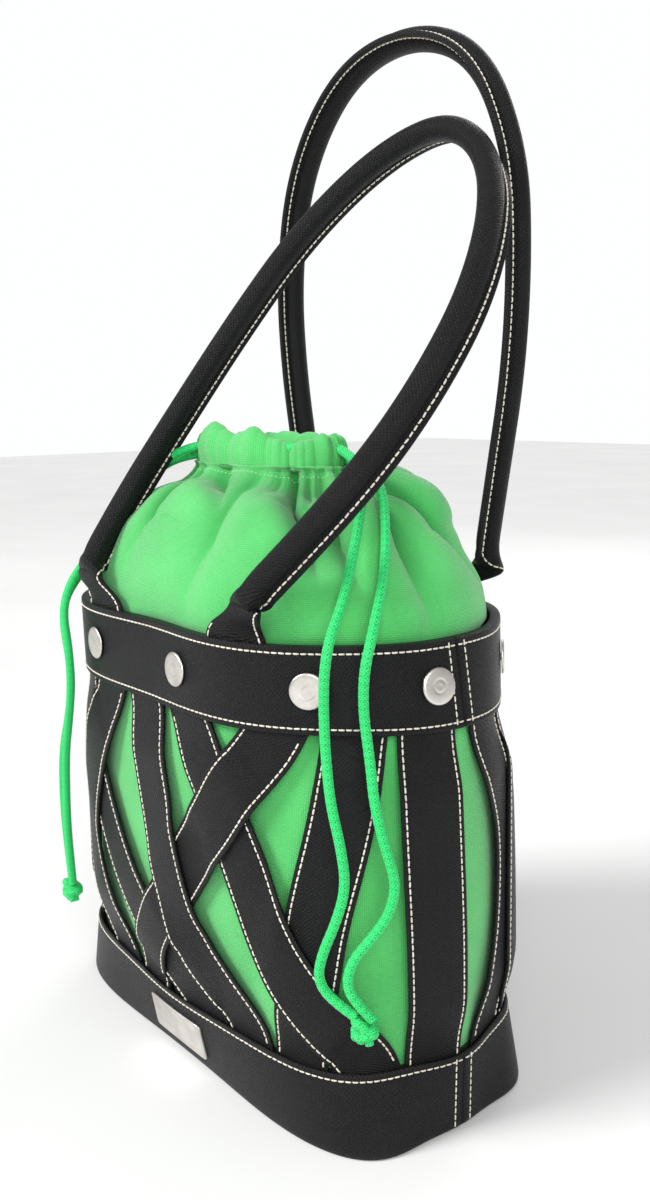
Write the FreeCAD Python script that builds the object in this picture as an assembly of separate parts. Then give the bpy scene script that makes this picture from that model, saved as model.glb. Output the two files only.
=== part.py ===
import FreeCAD, Part
import math
import os

# Caged drawstring tote bag: a leather cage of woven straps between two leather
# bands, with a fabric liner bag snapped inside it and two tubular handles.
# Millimetres, +Z up, +X towards the right side seam, -Y towards the front.
# The origin is the middle of the base, on the surface that the bag stands on.

Vector = FreeCAD.Vector

# ---------------------------------------------------------------- main sizes
BASE_TOP = 37.5          # top edge of the base band
BAND_BOTTOM = 191.3      # bottom edge of the top band
RIM = 230.0              # top edge of the top band
GIRTH = 696.0            # nominal distance round the cage
HALF_GIRTH = GIRTH / 2

BAND_LEATHER = 1.8       # outer leather of both bands
FACING_OUT = -4.0        # outer face of the inner facing, from the cage surface
FACING_IN = -5.2         # its inner face
STRAP_WIDTH = 29.0
STRAP_LEATHER = 1.8
STRAP_TUCK = -3.8        # inner face of a strap where it is sewn into a band
STRAP_LOW = 0.2          # inner face of a strap lying next to the liner
CROSSING_GAP = 0.35      # between two straps where one lies on the other
CROSSING_EASE = 9.0      # how soon a strap rises before it meets another
STRAP_START = 29.0       # hidden lower end of every strap
STRAP_END = 200.0        # hidden upper end
SEAM_GAP = 0.15          # half the gap between front and rear pieces

HANDLE_RADIUS = 6.75
HANDLE_BORE = 5.0
HANDLE_CORE = 4.7
PIVOT_HEIGHT = 248.0     # where the handles fold above the rim
FRONT_PIVOT_Y = -78.0
REAR_PIVOT_Y = 78.0
FRONT_LEAN = 33.2        # degrees, the front handle leans back on the rear one
REAR_LEAN = 2.0          # degrees towards the front
TAB_WIDTH = 36.0         # flattened handle foot, sewn into the top band
TAB_BOTTOM = 220.5
TAB_TOP = 236.0
# Feet by side: name, distance round the cage, and where the handle folds.
HANDLE_FEET = {
    -1: (("right", 106.7, 77, FRONT_PIVOT_Y), ("left", 219.0, -60, FRONT_PIVOT_Y)),
    1: (("left", 454.7, -68, REAR_PIVOT_Y), ("right", 567.0, 70, REAR_PIVOT_Y)),
}

LINER_WALL = 1.2
LINER_FLOOR = 7.4
LINER_AT_SNAPS = -9.7    # outer face at the snaps, from the cage surface
LINER_SPLIT = 224.0      # where the liner body meets its gathered top
DOME_TOP = 301.0
MOUTH_CENTRE = (-4.0, -2.0)
MOUTH_LONG = 50.0        # half axes of the casing's centre line
MOUTH_SHORT = 20.0
CASING_LOW = 300.0
CASING_HIGH = 313.0
CASING_HALF_WIDTH = 4.2

CORD = 4.5               # drawcord diameter
KNOT_LENGTH = 13.0
KNOT_WIDTH = 12.0

SNAP_HEIGHT = 211.0
SNAP_STATIONS = (13.0, 70.0, 147.0, 224.0, 293.0)
SNAP_CAP_RADIUS = 8.2
SNAP_CAP_HEIGHT = 1.5
SNAP_POST_RADIUS = 1.8
SNAP_HOLE_RADIUS = 2.1

PLATE_STATION = 174.0
PLATE_SIZE = (45.0, 20.0)
PLATE_HEIGHT = 17.5      # height of the plate's middle

# Cross-sections of the cage: height, half length, half depth, and three terms
# that square off or pull in the corners of the ellipse.
LEVELS = (
    (0.0, 133.3, 65.3, 0.113, -0.011, -0.015),
    (BASE_TOP, 134.1, 74.1, 0.054, -0.002, -0.018),
    (BAND_BOTTOM, 133.0, 80.2, 0.021, -0.022, 0.008),
    (RIM, 126.4, 78.2, 0.043, -0.027, 0.011),
)
SAMPLES = 720

# Straps of one half, numbered from the right side seam: how far each bows out
# in the middle, then (height, station) along its centre line. A station is
# the distance round the cage from the right side seam.
HALF_STRAPS = {
    1: (1.4, ((29, 15), (50, 15), (85, 15.5), (125, 17), (170, 18.5), (200, 19))),
    2: (0.5, ((29, 82), (50, 80), (70, 76), (105, 70), (145, 60), (175, 54),
              (200, 50.5))),
    3: (0.6, ((29, 44), (38, 47), (52, 57), (68, 72), (88, 88), (115, 101),
              (145, 114), (170, 128), (190, 141), (200, 147))),
    4: (0.8, ((29, 113), (38, 113.5), (50, 120), (66, 138), (86, 154), (105, 162),
              (128, 168), (160, 174), (190, 179), (200, 180.5))),
    5: (0.4, ((29, 192), (46, 191), (64, 185), (84, 172), (105, 155), (125, 139),
              (145, 122), (166, 107), (186, 91), (200, 83))),
    6: (0.0, ((29, 143), (38, 147), (50, 159), (66, 184), (82, 205), (98, 218),
              (118, 229), (142, 238), (170, 245), (200, 250))),
    7: (1.0, ((29, 225), (38, 229), (48, 235), (66, 248), (86, 256), (106, 255),
              (126, 248), (146, 237), (166, 226), (186, 216.5), (200, 211))),
    8: (1.6, ((29, 292), (50, 296), (85, 298), (120, 298), (150, 296), (175, 293),
              (200, 291))),
    9: (1.2, ((29, 327), (50, 321), (80, 312), (115, 309), (145, 313), (170, 323),
              (190, 328), (200, 329))),
}
# Which strap passes over which, where their paths meet.
CROSSINGS = ((3, 2), (5, 3), (4, 5), (5, 6), (4, 6), (7, 6), (8, 9))

# Handle centre lines, in the plane of each handle: (x, distance from pivot).
FRONT_ARCH = ((-60, 0), (-58.5, 40), (-48.5, 94.5), (-37, 149), (-20, 202.5),
              (16, 245), (60.5, 256.5), (107, 221), (130, 160), (125.5, 98.5),
              (105.5, 46), (77, 0))
REAR_ARCH = ((-68, 0), (-70.5, 45), (-79, 100), (-80, 155), (-65, 211.5),
             (-26.5, 252.5), (24, 263), (70.5, 244.5), (93, 196), (94.5, 145),
             (90, 95), (80, 48), (70, 0))

# Drawcord strands, from the casing to their knot.
CORD_ROUTES = {
    "drawcord_right_inner": (
        (48.8, -1, 309.3), (66, -4, 305), (83, -14, 295), (94, -27, 279),
        (101, -38, 262), (107, -48, 247), (111, -58, 236), (112, -62, 222),
        (109, -60, 204), (110, -60, 186), (114, -61, 166), (118, -59, 148),
        (119, -57, 130), (116, -60, 114), (112, -65, 99), (110, -66, 87),
        (115, -62, 78), (124, -56, 72)),
    "drawcord_right_outer": (
        (48.8, 3, 304), (68, 3, 301), (85, -5, 291), (98, -15, 275),
        (108, -25, 259), (115, -35, 246), (121, -44, 235), (122, -49, 222),
        (119, -47, 204), (122, -46, 184), (126, -47, 164), (130, -44, 145),
        (132, -40, 130), (130, -43, 116), (126, -50, 106), (122, -57, 97),
        (122, -60, 87), (126, -57, 79), (130, -52, 72)),
    "drawcord_left_inner": (
        (-39, -19.3, 309.3), (-46, -28, 307), (-56, -33, 300), (-66, -39, 289),
        (-74, -47, 277), (-79, -57, 263), (-82, -66, 250), (-84, -76, 238),
        (-83, -82, 223), (-78, -82, 204), (-79, -81, 184), (-84, -81, 163),
        (-92, -80, 143), (-96, -79, 122), (-97, -79, 101), (-98, -78, 81),
        (-100, -76, 62)),
    "drawcord_left_outer": (
        (-46.9, -15.9, 304), (-57, -23, 302.5), (-68, -31.5, 294.5), (-77, -39.5, 282),
        (-84, -48, 266), (-89, -57, 252), (-91, -67, 240), (-92, -76, 228),
        (-89, -79, 214), (-86, -78, 198), (-87, -77, 181), (-92, -77, 163),
        (-99, -78, 143), (-104, -77, 122), (-106, -76, 101), (-106, -75, 81),
        (-105, -74, 62)),
}
KNOT_CENTRES = {"knot_right": (127, -54, 67), "knot_left": (-103, -75, 57)}


# ------------------------------------------------------------ cage surface
def level_outline(level):
    """Points round one cross-section at equal distances, from the right seam
    towards the front."""
    height, half_length, half_depth, fourth, second, eighth = level
    fine = 4 * SAMPLES
    points = []
    for index in range(fine + 1):
        angle = -2 * math.pi * index / fine
        swell = (1 + fourth * (1 - math.cos(4 * angle))
                 + second * (math.cos(2 * angle) - math.cos(6 * angle))
                 + eighth * (1 - math.cos(8 * angle)))
        points.append((half_length * math.cos(angle) * swell,
                       half_depth * math.sin(angle) * swell))
    along = [0.0]
    for first, second_point in zip(points, points[1:]):
        along.append(along[-1] + math.dist(first, second_point))
    outline = []
    spot = 0
    for index in range(SAMPLES):
        target = along[-1] * index / SAMPLES
        while along[spot + 1] < target:
            spot += 1
        part = (target - along[spot]) / (along[spot + 1] - along[spot])
        outline.append(tuple(a + (b - a) * part
                             for a, b in zip(points[spot], points[spot + 1])))
    return outline


OUTLINES = [level_outline(level) for level in LEVELS]


def outline_at(height, station):
    """The cage surface in plan at a height and a distance round the cage."""
    height = min(max(height, LEVELS[0][0]), LEVELS[-1][0])
    lower = 0
    while lower < len(LEVELS) - 2 and height > LEVELS[lower + 1][0]:
        lower += 1
    low, high = LEVELS[lower][0], LEVELS[lower + 1][0]
    rise = (height - low) / (high - low)
    place = (station / GIRTH) % 1.0 * SAMPLES
    first = int(place) % SAMPLES
    part = place - int(place)
    result = []
    for axis in (0, 1):
        values = []
        for outline in (OUTLINES[lower], OUTLINES[lower + 1]):
            start, end = outline[first][axis], outline[(first + 1) % SAMPLES][axis]
            values.append(start + (end - start) * part)
        result.append(values[0] + (values[1] - values[0]) * rise)
    return result


def outward(height, station):
    """Unit normal of the cage in plan."""
    step = 3.0
    ahead = outline_at(height, station + step)
    behind = outline_at(height, station - step)
    return Vector(behind[1] - ahead[1], ahead[0] - behind[0], 0).normalize()


def cage_point(station, height, offset):
    """A point on the cage, moved outwards by the offset."""
    place = outline_at(height, station)
    return Vector(place[0], place[1], height) + outward(height, station) * offset


# ---------------------------------------------------------------- builders
def closed_wire(points):
    curve = Part.BSplineCurve()
    curve.interpolate(points, PeriodicFlag=True)
    return Part.Wire([curve.toShape()])


def cage_wire(height, offset, at=None):
    """Closed wire round the cage; 'at' moves it to another height."""
    count = 72
    points = [cage_point(GIRTH * index / count, height, offset)
              for index in range(count)]
    if at is not None:
        points = [Vector(point.x, point.y, at) for point in points]
    return closed_wire(points)


def loft(wires, ruled=False):
    return Part.makeLoft(wires, True, ruled)


def cage_ring(bottom, top, outer, inner):
    """Ring between two heights, following the cage at two offsets."""
    reach, steps = 1.0, 5
    heights = [bottom + (top - bottom) * step / steps for step in range(steps + 1)]
    outside = loft([cage_wire(height, outer) for height in heights], True)
    inside = loft([cage_wire(bottom, inner, bottom - reach)]
                  + [cage_wire(height, inner) for height in heights]
                  + [cage_wire(top, inner, top + reach)], True)
    return outside.cut(inside)


def cage_plate(bottom, top, edge):
    """Flat plate that fills the cage at a height."""
    return loft([cage_wire(bottom, edge), cage_wire(top, edge)], True)


def half_of(shape, side):
    """Front (side -1) or rear (side 1) half of a ring, cut at the seams."""
    size = 400.0
    start_y = SEAM_GAP if side > 0 else -SEAM_GAP - size
    block = Part.makeBox(2 * size, size, 2 * size, Vector(-size, start_y, -size))
    return shape.common(block)


def patch_section(height, start, end, inner, outer):
    """Flat closed section of a strip that lies against the cage."""
    stations = [start + (end - start) * part for part in (0, 0.25, 0.5, 0.75, 1)]
    inside = [cage_point(station, height, inner) for station in stations]
    outside = [cage_point(station, height, outer) for station in stations]
    edges = []
    for points in (inside, outside[::-1]):
        curve = Part.BSplineCurve()
        curve.interpolate(points)
        edges.append(curve.toShape())
    sides = [Part.LineSegment(inside[-1], outside[-1]).toShape(),
             Part.LineSegment(outside[0], inside[0]).toShape()]
    return Part.Wire([edges[0], sides[0], edges[1], sides[1]])


def centre_line(controls):
    """Smooth line through a strap's control points, as (height, station)."""
    curve = Part.BSplineCurve()
    curve.interpolate([Vector(height, station, 0) for height, station in controls])
    return curve


CENTRE_LINES = {number: centre_line(controls)
                for number, (bow, controls) in HALF_STRAPS.items()}


def strap_at(number, height):
    """Station of a strap's centre and half its level width, at a height."""
    curve = CENTRE_LINES[number]
    low, high = curve.FirstParameter, curve.LastParameter
    for step in range(40):
        middle = (low + high) / 2
        if curve.value(middle).x < height:
            low = middle
        else:
            high = middle
    tangent = curve.tangent(low)[0]
    slope = math.hypot(tangent.x, tangent.y) / abs(tangent.x)
    return curve.value(low).y, STRAP_WIDTH / 2 * slope


def smooth_step(value):
    value = min(max(value, 0.0), 1.0)
    return value * value * (3 - 2 * value)


def strap_inner_face(number, height):
    """Offset of a strap's inner face: drawn in at the bands, bowed out in the
    middle, and lifted over the straps that it crosses."""
    ease, margin = 30.0, 1.0
    depth = min(height - BASE_TOP, BAND_BOTTOM - height)
    middle = math.sin(math.pi * min(max((height - BASE_TOP)
                                        / (BAND_BOTTOM - BASE_TOP), 0.0), 1.0))
    free = STRAP_LOW + HALF_STRAPS[number][0] * middle
    drawn_in = smooth_step((depth - margin) / (ease - margin))
    face = STRAP_TUCK + (free - STRAP_TUCK) * drawn_in
    station, half_width = strap_at(number, height)
    for over, under in CROSSINGS:
        if over != number:
            continue
        other, other_half = strap_at(under, height)
        gap = abs(station - other) - half_width - other_half
        reach = 0.6 + CROSSING_EASE * drawn_in
        beside = smooth_step((reach - gap) / (reach - 0.5))
        beside *= smooth_step((depth - 0.3) / 3)
        lifted = strap_inner_face(under, height) + STRAP_LEATHER + CROSSING_GAP
        face += max(lifted - face, 0.0) * beside
    return face


def strap(number, shift):
    """One woven strap, its ends hidden inside the two bands."""
    near_band = (0.3, 2.5, 5, 8, 12, 16.5)
    low = BASE_TOP + near_band[-1]
    span = BAND_BOTTOM - BASE_TOP - 2 * near_band[-1]
    heights = [STRAP_START, BASE_TOP - 4]
    heights += [BASE_TOP + depth for depth in near_band]
    heights += [low + span * index / 20 for index in range(1, 20)]
    heights += [BAND_BOTTOM - depth for depth in reversed(near_band)]
    heights += [BAND_BOTTOM + 4, STRAP_END]
    sections = []
    for height in heights:
        station, half_width = strap_at(number, height)
        station += shift
        inner = strap_inner_face(number, height)
        sections.append(patch_section(height, station - half_width,
                                      station + half_width, inner,
                                      inner + STRAP_LEATHER))
    return loft(sections, True)


def smooth_path(points):
    """Wire of straight runs joined by tangent arcs, and its radii."""
    points = [Vector(*point) for point in points]
    corners = []
    radii = []
    for before, corner, after in zip(points, points[1:], points[2:]):
        back = before - corner
        ahead = after - corner
        turn = math.pi - back.getAngle(ahead)
        trim = 0.45 * min(back.Length, ahead.Length)
        radius = trim / math.tan(turn / 2)
        radii.append(radius)
        back.normalize()
        ahead.normalize()
        middle = (back + ahead).normalize()
        reach = radius / math.cos(turn / 2) - radius
        corners.append((corner + back * trim, corner + middle * reach,
                        corner + ahead * trim))
    edges = []
    here = points[0]
    for start, middle, end in corners:
        edges.append(Part.LineSegment(here, start).toShape())
        edges.append(Part.Arc(start, middle, end).toShape())
        here = end
    edges.append(Part.LineSegment(here, points[-1]).toShape())
    return Part.Wire(edges), radii


def tube(points, radius):
    """Round bar along a path; also gives the path's wire and radii."""
    wire, radii = smooth_path(points)
    start = Vector(*points[0])
    circle = Part.Circle(start, Vector(*points[1]) - start, radius)
    profile = Part.Wire([circle.toShape()])
    return wire.makePipeShell([profile], True, False), wire, radii


def revolved(profile, base, axis):
    """Solid of revolution; the profile is (radius, distance along the axis)."""
    points = [Vector(radius, 0, along) for radius, along in profile]
    face = Part.Face(Part.makePolygon(points + [points[0]]))
    solid = face.revolve(Vector(0, 0, 0), Vector(0, 0, 1), 360)
    turn = FreeCAD.Rotation(Vector(0, 0, 1), axis)
    solid.Placement = FreeCAD.Placement(base, turn)
    return solid


def save(name, shape):
    """Writes one node, and prints its volume and whether it is sound."""
    shape.exportStep(os.path.join("parts", name + ".step"))
    state = "ok" if shape.isValid() and shape.Volume > 0 else "BAD"
    print(f"{name}: {shape.Volume:.0f} mm3, {len(shape.Solids)} solids, {state}")


# -------------------------------------------------------------------- base
def make_base():
    save("base_panel", cage_plate(0, 2.0, -BAND_LEATHER - 0.3))
    save("base_board", cage_plate(2.3, 4.8, -5.8))
    band = cage_ring(0, BASE_TOP, 0, -BAND_LEATHER)
    save("base_band_front", half_of(band, -1))
    save("base_band_rear", half_of(band, 1))
    save("base_band_facing", cage_ring(5.2, BASE_TOP - 0.8, FACING_OUT, FACING_IN))


def make_nameplate():
    """Blank metal plate, curved to lie on the base band."""
    width, height = PLATE_SIZE
    back, front = 0.15, 1.35
    left, right = PLATE_STATION - width / 2, PLATE_STATION + width / 2
    levels = (PLATE_HEIGHT - height / 2, PLATE_HEIGHT, PLATE_HEIGHT + height / 2)
    save("nameplate", loft([patch_section(level, left, right, back, front)
                            for level in levels]))


# ---------------------------------------------------------------- top band
def snap_stations():
    return [station + shift for shift in (0, HALF_GIRTH) for station in SNAP_STATIONS]


def snap_frame(station, offset):
    """Point inside or outside the band at a snap, and the way out of the band."""
    step = 3.0
    point = cage_point(station, SNAP_HEIGHT, 0)
    along = (cage_point(station + step, SNAP_HEIGHT, 0)
             - cage_point(station - step, SNAP_HEIGHT, 0))
    up = (cage_point(station, SNAP_HEIGHT + step, 0)
          - cage_point(station, SNAP_HEIGHT - step, 0))
    normal = up.cross(along).normalize()
    return point + normal * offset, normal


def snap_holes():
    length = 16.0
    holes = []
    for station in snap_stations():
        point, normal = snap_frame(station, -length / 2)
        holes.append(Part.makeCylinder(SNAP_HOLE_RADIUS, length, point, normal))
    return Part.makeCompound(holes)


def make_top_band():
    turned_edge = 1.7
    leather = cage_ring(BAND_BOTTOM, RIM, 0, -BAND_LEATHER)
    edge = cage_ring(RIM - turned_edge, RIM, -BAND_LEATHER + 0.4, FACING_IN)
    band = leather.fuse(edge).cut(snap_holes())
    facing = cage_ring(BAND_BOTTOM + 1, RIM - turned_edge - 0.3, FACING_OUT, FACING_IN)
    facing = facing.cut(snap_holes())
    for side, name in ((-1, "front"), (1, "rear")):
        half = half_of(band, side)
        for slot in tab_slots(side):
            half = half.cut(slot)
        save(f"top_band_{name}", half)
        save(f"top_band_facing_{name}", half_of(facing, side))


def make_straps():
    for side, shift in (("front", 0), ("rear", HALF_GIRTH)):
        for number in HALF_STRAPS:
            save(f"{side}_strap_{number}", strap(number, shift))


# ----------------------------------------------------------------- handles
def arch_points(arch, pivot_y, lean, side):
    """Handle centre line in space; a lean is towards the other handle."""
    angle = math.radians(lean)
    return [(x, pivot_y - side * away * math.sin(angle),
             PIVOT_HEIGHT + away * math.cos(angle)) for x, away in arch]


def shortened(start, towards, distance):
    start, towards = Vector(*start), Vector(*towards)
    moved = start + (towards - start).normalize() * distance
    return (moved.x, moved.y, moved.z)


def inner_bar(points, radius, setback):
    """Bar along a handle's centre line, set back from both its ends."""
    first = shortened(points[0], points[1], setback)
    last = shortened(points[-1], points[-2], setback)
    return tube([first] + list(points[1:-1]) + [last], radius)[0]


def make_handle(name, points):
    outer, wire, radii = tube(points, HANDLE_RADIUS)
    for end in (points[0], points[-1]):
        outer = outer.fuse(Part.makeSphere(HANDLE_RADIUS, Vector(*end)))
    print(f"{name}: centre line {wire.Length:.0f} mm, least radius {min(radii):.0f}")
    save(f"{name}_cover", outer.cut(inner_bar(points, HANDLE_BORE, 9.0)))
    save(f"{name}_core", inner_bar(points, HANDLE_CORE, 9.4))


def tab_section(height, side, foot):
    """Section of a handle foot: wide and thin in the band, narrow and thick
    at the fold."""
    name, station, pivot_x, pivot_y = foot
    sewn_at, sewn_thick, fold_wide, fold_thick = -2.9, 1.2, 18.0, 5.0
    ease = smooth_step((height - RIM) / (TAB_TOP - RIM))
    half_width = (TAB_WIDTH + (fold_wide - TAB_WIDTH) * ease) / 2
    half_depth = (sewn_thick + (fold_thick - sewn_thick) * ease) / 2
    points = []
    across = (-0.9, -0.6, -0.3, 0, 0.3, 0.6, 0.9)
    ring = [(-1, -0.4)] + [(along, -1) for along in across] + [(1, -0.4)]
    ring += [(1, 0.4)] + [(along, 1) for along in reversed(across)] + [(-1, 0.4)]
    for along, out in ring:
        sewn = cage_point(station - along * half_width, height,
                          sewn_at + out * half_depth)
        fold = Vector(pivot_x - side * along * half_width,
                      pivot_y + side * out * half_depth, height)
        points.append(sewn * (1 - ease) + fold * ease)
    return Part.makePolygon(points + [points[0]])


def make_tab(side, foot):
    heights = [TAB_BOTTOM, 225.0, RIM, 231.5, 233.0, 234.5, TAB_TOP]
    return loft([tab_section(height, side, foot) for height in heights], True)


def tab_slots(side):
    """Slits in the turned edge of the band, where the handle feet go in."""
    slots = []
    half = TAB_WIDTH / 2 + 0.5
    for name, station, pivot_x, pivot_y in HANDLE_FEET[side]:
        slots.append(loft([patch_section(height, station - half, station + half,
                                         -3.75, -2.05)
                           for height in (RIM - 4.0, RIM - 1.0, RIM + 2.0)]))
    return slots


def make_handles():
    for side, name in ((-1, "front"), (1, "rear")):
        for foot in HANDLE_FEET[side]:
            save(f"{name}_handle_foot_{foot[0]}", make_tab(side, foot))
    make_handle("front_handle", arch_points(FRONT_ARCH, FRONT_PIVOT_Y, FRONT_LEAN, -1))
    make_handle("rear_handle", arch_points(REAR_ARCH, REAR_PIVOT_Y, REAR_LEAN, 1))


# ------------------------------------------------------------------- snaps
def make_snaps():
    """Each snap has a cap outside the band, a post through it, a socket inside
    it, and a stud on the liner."""
    edge, height = SNAP_CAP_RADIUS, SNAP_CAP_HEIGHT
    profiles = {
        "snap_caps": (0.45, (
            (0, 0), (edge - 0.6, 0), (edge, 0.5), (edge, 0.8), (edge - 1, height),
            (4.2, height), (3.9, height - 0.4), (3.4, height - 0.4),
            (3.1, height), (0, height + 0.2))),
        "snap_posts": (-5.85, (
            (0, 0), (SNAP_POST_RADIUS, 0), (SNAP_POST_RADIUS, 6.2), (0, 6.2))),
        "snap_sockets": (-7.8, (
            (2.6, 0), (6.0, 0), (6.0, 1.2), (4.6, 1.8), (2.6, 1.8))),
        "snap_studs": (-9.0, (
            (0, 0), (5.0, 0), (5.0, 0.8), (2.2, 0.8), (2.3, 1.9), (2.0, 2.3),
            (0, 2.3))),
    }
    for name, (offset, profile) in profiles.items():
        solids = []
        for station in snap_stations():
            point, normal = snap_frame(station, offset)
            solids.append(revolved(profile, point, normal))
        save(name, Part.makeCompound(solids))


# ------------------------------------------------------------------- liner
def liner_offset(height):
    """How far inside the cage surface the fabric's outer face lies."""
    stops = ((0, -5.8), (BASE_TOP, -5.8), (62, -2.6), (165, -2.6),
             (BAND_BOTTOM, -5.6), (204, LINER_AT_SNAPS), (RIM, LINER_AT_SNAPS))
    for (low, start), (high, end) in zip(stops, stops[1:]):
        if height <= high:
            return start + (end - start) * (height - low) / (high - low)
    return LINER_AT_SNAPS


def liner_wires(heights, inset):
    return [cage_wire(height, liner_offset(height) - inset) for height in heights]


def make_liner_body():
    heights = [LINER_FLOOR, BASE_TOP, 50, 62, 90, 120, 150, 165, 178, BAND_BOTTOM,
               204, LINER_SPLIT]
    reach = 2.0
    outside = loft(liner_wires(heights, 0), True)
    inner = liner_wires(heights, LINER_WALL)
    inner.insert(0, cage_wire(LINER_FLOOR, liner_offset(0) - LINER_WALL,
                              LINER_FLOOR - reach))
    inner.append(cage_wire(LINER_SPLIT, LINER_AT_SNAPS - LINER_WALL,
                           LINER_SPLIT + reach))
    save("liner_body", outside.cut(loft(inner, True)))
    floor_bottom = LINER_FLOOR - 1.9
    save("liner_bottom", cage_plate(floor_bottom, floor_bottom + LINER_WALL, -6.0))


def dome_wire(part, inset):
    """Closed wire round the gathered top, from the rim (0) to the mouth (1)."""
    start, count = 232.0, 72
    height = start + (DOME_TOP - start) * math.sin(part * math.pi / 2) ** 0.8
    long, short = MOUTH_LONG + 5.0 - inset, MOUTH_SHORT + 5.0 - inset
    points = []
    for index in range(count):
        rim = cage_point(GIRTH * index / count, RIM, LINER_AT_SNAPS - inset)
        angle = math.atan2(rim.y, rim.x)
        mouth = Vector(MOUTH_CENTRE[0] + long * math.cos(angle),
                       MOUTH_CENTRE[1] + short * math.sin(angle), 0)
        point = rim * (1 - part) + mouth * part
        points.append(Vector(point.x, point.y, height - 0.8 * inset))
    return closed_wire(points)


def mouth_prism(grow, bottom, top):
    """Upright oval block round the mouth, 'grow' outside the casing's middle."""
    ellipse = Part.Ellipse(Vector(MOUTH_CENTRE[0], MOUTH_CENTRE[1], bottom),
                           MOUTH_LONG + grow, MOUTH_SHORT + grow)
    face = Part.Face(Part.Wire([ellipse.toShape()]))
    return face.extrude(Vector(0, 0, top - bottom))


def make_liner_top():
    parts = (0.0, 0.06, 0.15, 0.3, 0.48, 0.68, 0.86)
    low = cage_wire(LINER_SPLIT, LINER_AT_SNAPS, LINER_SPLIT + 0.3)
    outside = loft([low] + [dome_wire(part, 0) for part in parts])
    below = cage_wire(LINER_SPLIT, LINER_AT_SNAPS - LINER_WALL, LINER_SPLIT - 1.5)
    inside = loft([below] + [dome_wire(part, LINER_WALL) for part in parts])
    opening = mouth_prism(-CASING_HALF_WIDTH, 270, 340)
    casing_seat = mouth_prism(CASING_HALF_WIDTH + 0.3, CASING_LOW - 0.3, 340)
    save("liner_top", outside.cut(inside).cut(opening).cut(casing_seat))


def casing_ring(inset):
    """Oval ring of the casing's section, smaller all round by the inset."""
    outside = mouth_prism(CASING_HALF_WIDTH - inset, CASING_LOW + inset,
                          CASING_HIGH - inset)
    return outside.cut(mouth_prism(inset - CASING_HALF_WIDTH, 280, 340))


def make_casing():
    """Fabric channel round the mouth, with holes where the cords come out."""
    body = casing_ring(0).cut(casing_ring(LINER_WALL))
    for name, route in CORD_ROUTES.items():
        start, after = Vector(*route[0]), Vector(*route[1])
        direction = (after - start).normalize()
        body = body.cut(Part.makeCylinder(CORD / 2 + 0.4, 16, start - direction * 8,
                                          direction))
    save("casing", body)
    for name, height in (("drawcord_in_casing_upper", 309.3),
                         ("drawcord_in_casing_lower", 303.7)):
        save(name, cord_loop(height))


def cord_loop(height):
    """Stretch of drawcord lying in the casing: an oval, round in section."""
    ellipse = Part.Ellipse(Vector(MOUTH_CENTRE[0], MOUTH_CENTRE[1], height),
                           MOUTH_LONG, MOUTH_SHORT)
    wire = Part.Wire([ellipse.toShape()])
    start = Vector(MOUTH_CENTRE[0] + MOUTH_LONG, MOUTH_CENTRE[1], height)
    profile = Part.Wire([Part.Circle(start, Vector(0, 1, 0), CORD / 2).toShape()])
    return wire.makePipeShell([profile], True, False)


# --------------------------------------------------------------- drawcords
def make_cords():
    for name, route in CORD_ROUTES.items():
        solid, wire, radii = tube(route, CORD / 2)
        save(name, solid)
        section = math.pi * CORD ** 2 / 4
        listed = ", ".join(f"{radius:.0f}" for radius in radii)
        print(f"  length {wire.Length:.0f} mm, volume / (section x length) "
              f"{solid.Volume / section / wire.Length:.4f}, radii {listed}")
    half, wide = KNOT_LENGTH / 2, KNOT_WIDTH / 2
    barrel = ((0, -half), (wide * 0.6, -half), (wide * 0.95, -half * 0.55),
              (wide, 0), (wide * 0.95, half * 0.55), (wide * 0.6, half), (0, half))
    for name, centre in KNOT_CENTRES.items():
        save(name, revolved(barrel, Vector(*centre), Vector(0, 0, 1)))


os.makedirs("parts", exist_ok=True)
make_base()
make_nameplate()
make_top_band()
make_straps()
make_handles()
make_snaps()
make_liner_body()
make_liner_top()
make_casing()
make_cords()
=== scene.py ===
import math
import bpy
import numpy as np
from mathutils import Matrix


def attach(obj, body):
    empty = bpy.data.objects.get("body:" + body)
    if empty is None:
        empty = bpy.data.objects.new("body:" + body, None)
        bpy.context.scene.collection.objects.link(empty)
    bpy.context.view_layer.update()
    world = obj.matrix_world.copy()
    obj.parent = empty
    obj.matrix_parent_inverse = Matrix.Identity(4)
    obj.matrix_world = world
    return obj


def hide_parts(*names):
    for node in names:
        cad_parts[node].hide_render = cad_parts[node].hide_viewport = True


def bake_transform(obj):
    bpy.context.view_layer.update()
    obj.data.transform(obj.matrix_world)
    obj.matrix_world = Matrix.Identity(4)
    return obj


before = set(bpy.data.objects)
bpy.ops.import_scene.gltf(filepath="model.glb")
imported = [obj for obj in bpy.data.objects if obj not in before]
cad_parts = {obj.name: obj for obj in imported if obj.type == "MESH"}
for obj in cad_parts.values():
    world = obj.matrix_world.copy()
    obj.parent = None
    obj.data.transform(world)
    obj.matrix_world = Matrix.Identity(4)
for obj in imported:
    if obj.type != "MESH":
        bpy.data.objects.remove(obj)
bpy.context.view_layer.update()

MM = 0.001
RNG = np.random.default_rng(7)

# ------------------------------------------------------------ cage surface
# The same sections as the CAD model, in millimetres.
BASE_TOP, BAND_BOTTOM, RIM, GIRTH = 37.5, 191.3, 230.0, 696.0
HALF_GIRTH = GIRTH / 2
LEATHER = 1.8
STRAP_WIDTH, STRAP_START, STRAP_END = 29.0, 28.0, 201.0
LINER_AT_SNAPS = -9.7
LEVELS = (
    (0.0, 133.3, 65.3, 0.113, -0.011, -0.015),
    (BASE_TOP, 134.1, 74.1, 0.054, -0.002, -0.018),
    (BAND_BOTTOM, 133.0, 80.2, 0.021, -0.022, 0.008),
    (RIM, 126.4, 78.2, 0.043, -0.027, 0.011),
)
SAMPLES = 720


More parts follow.
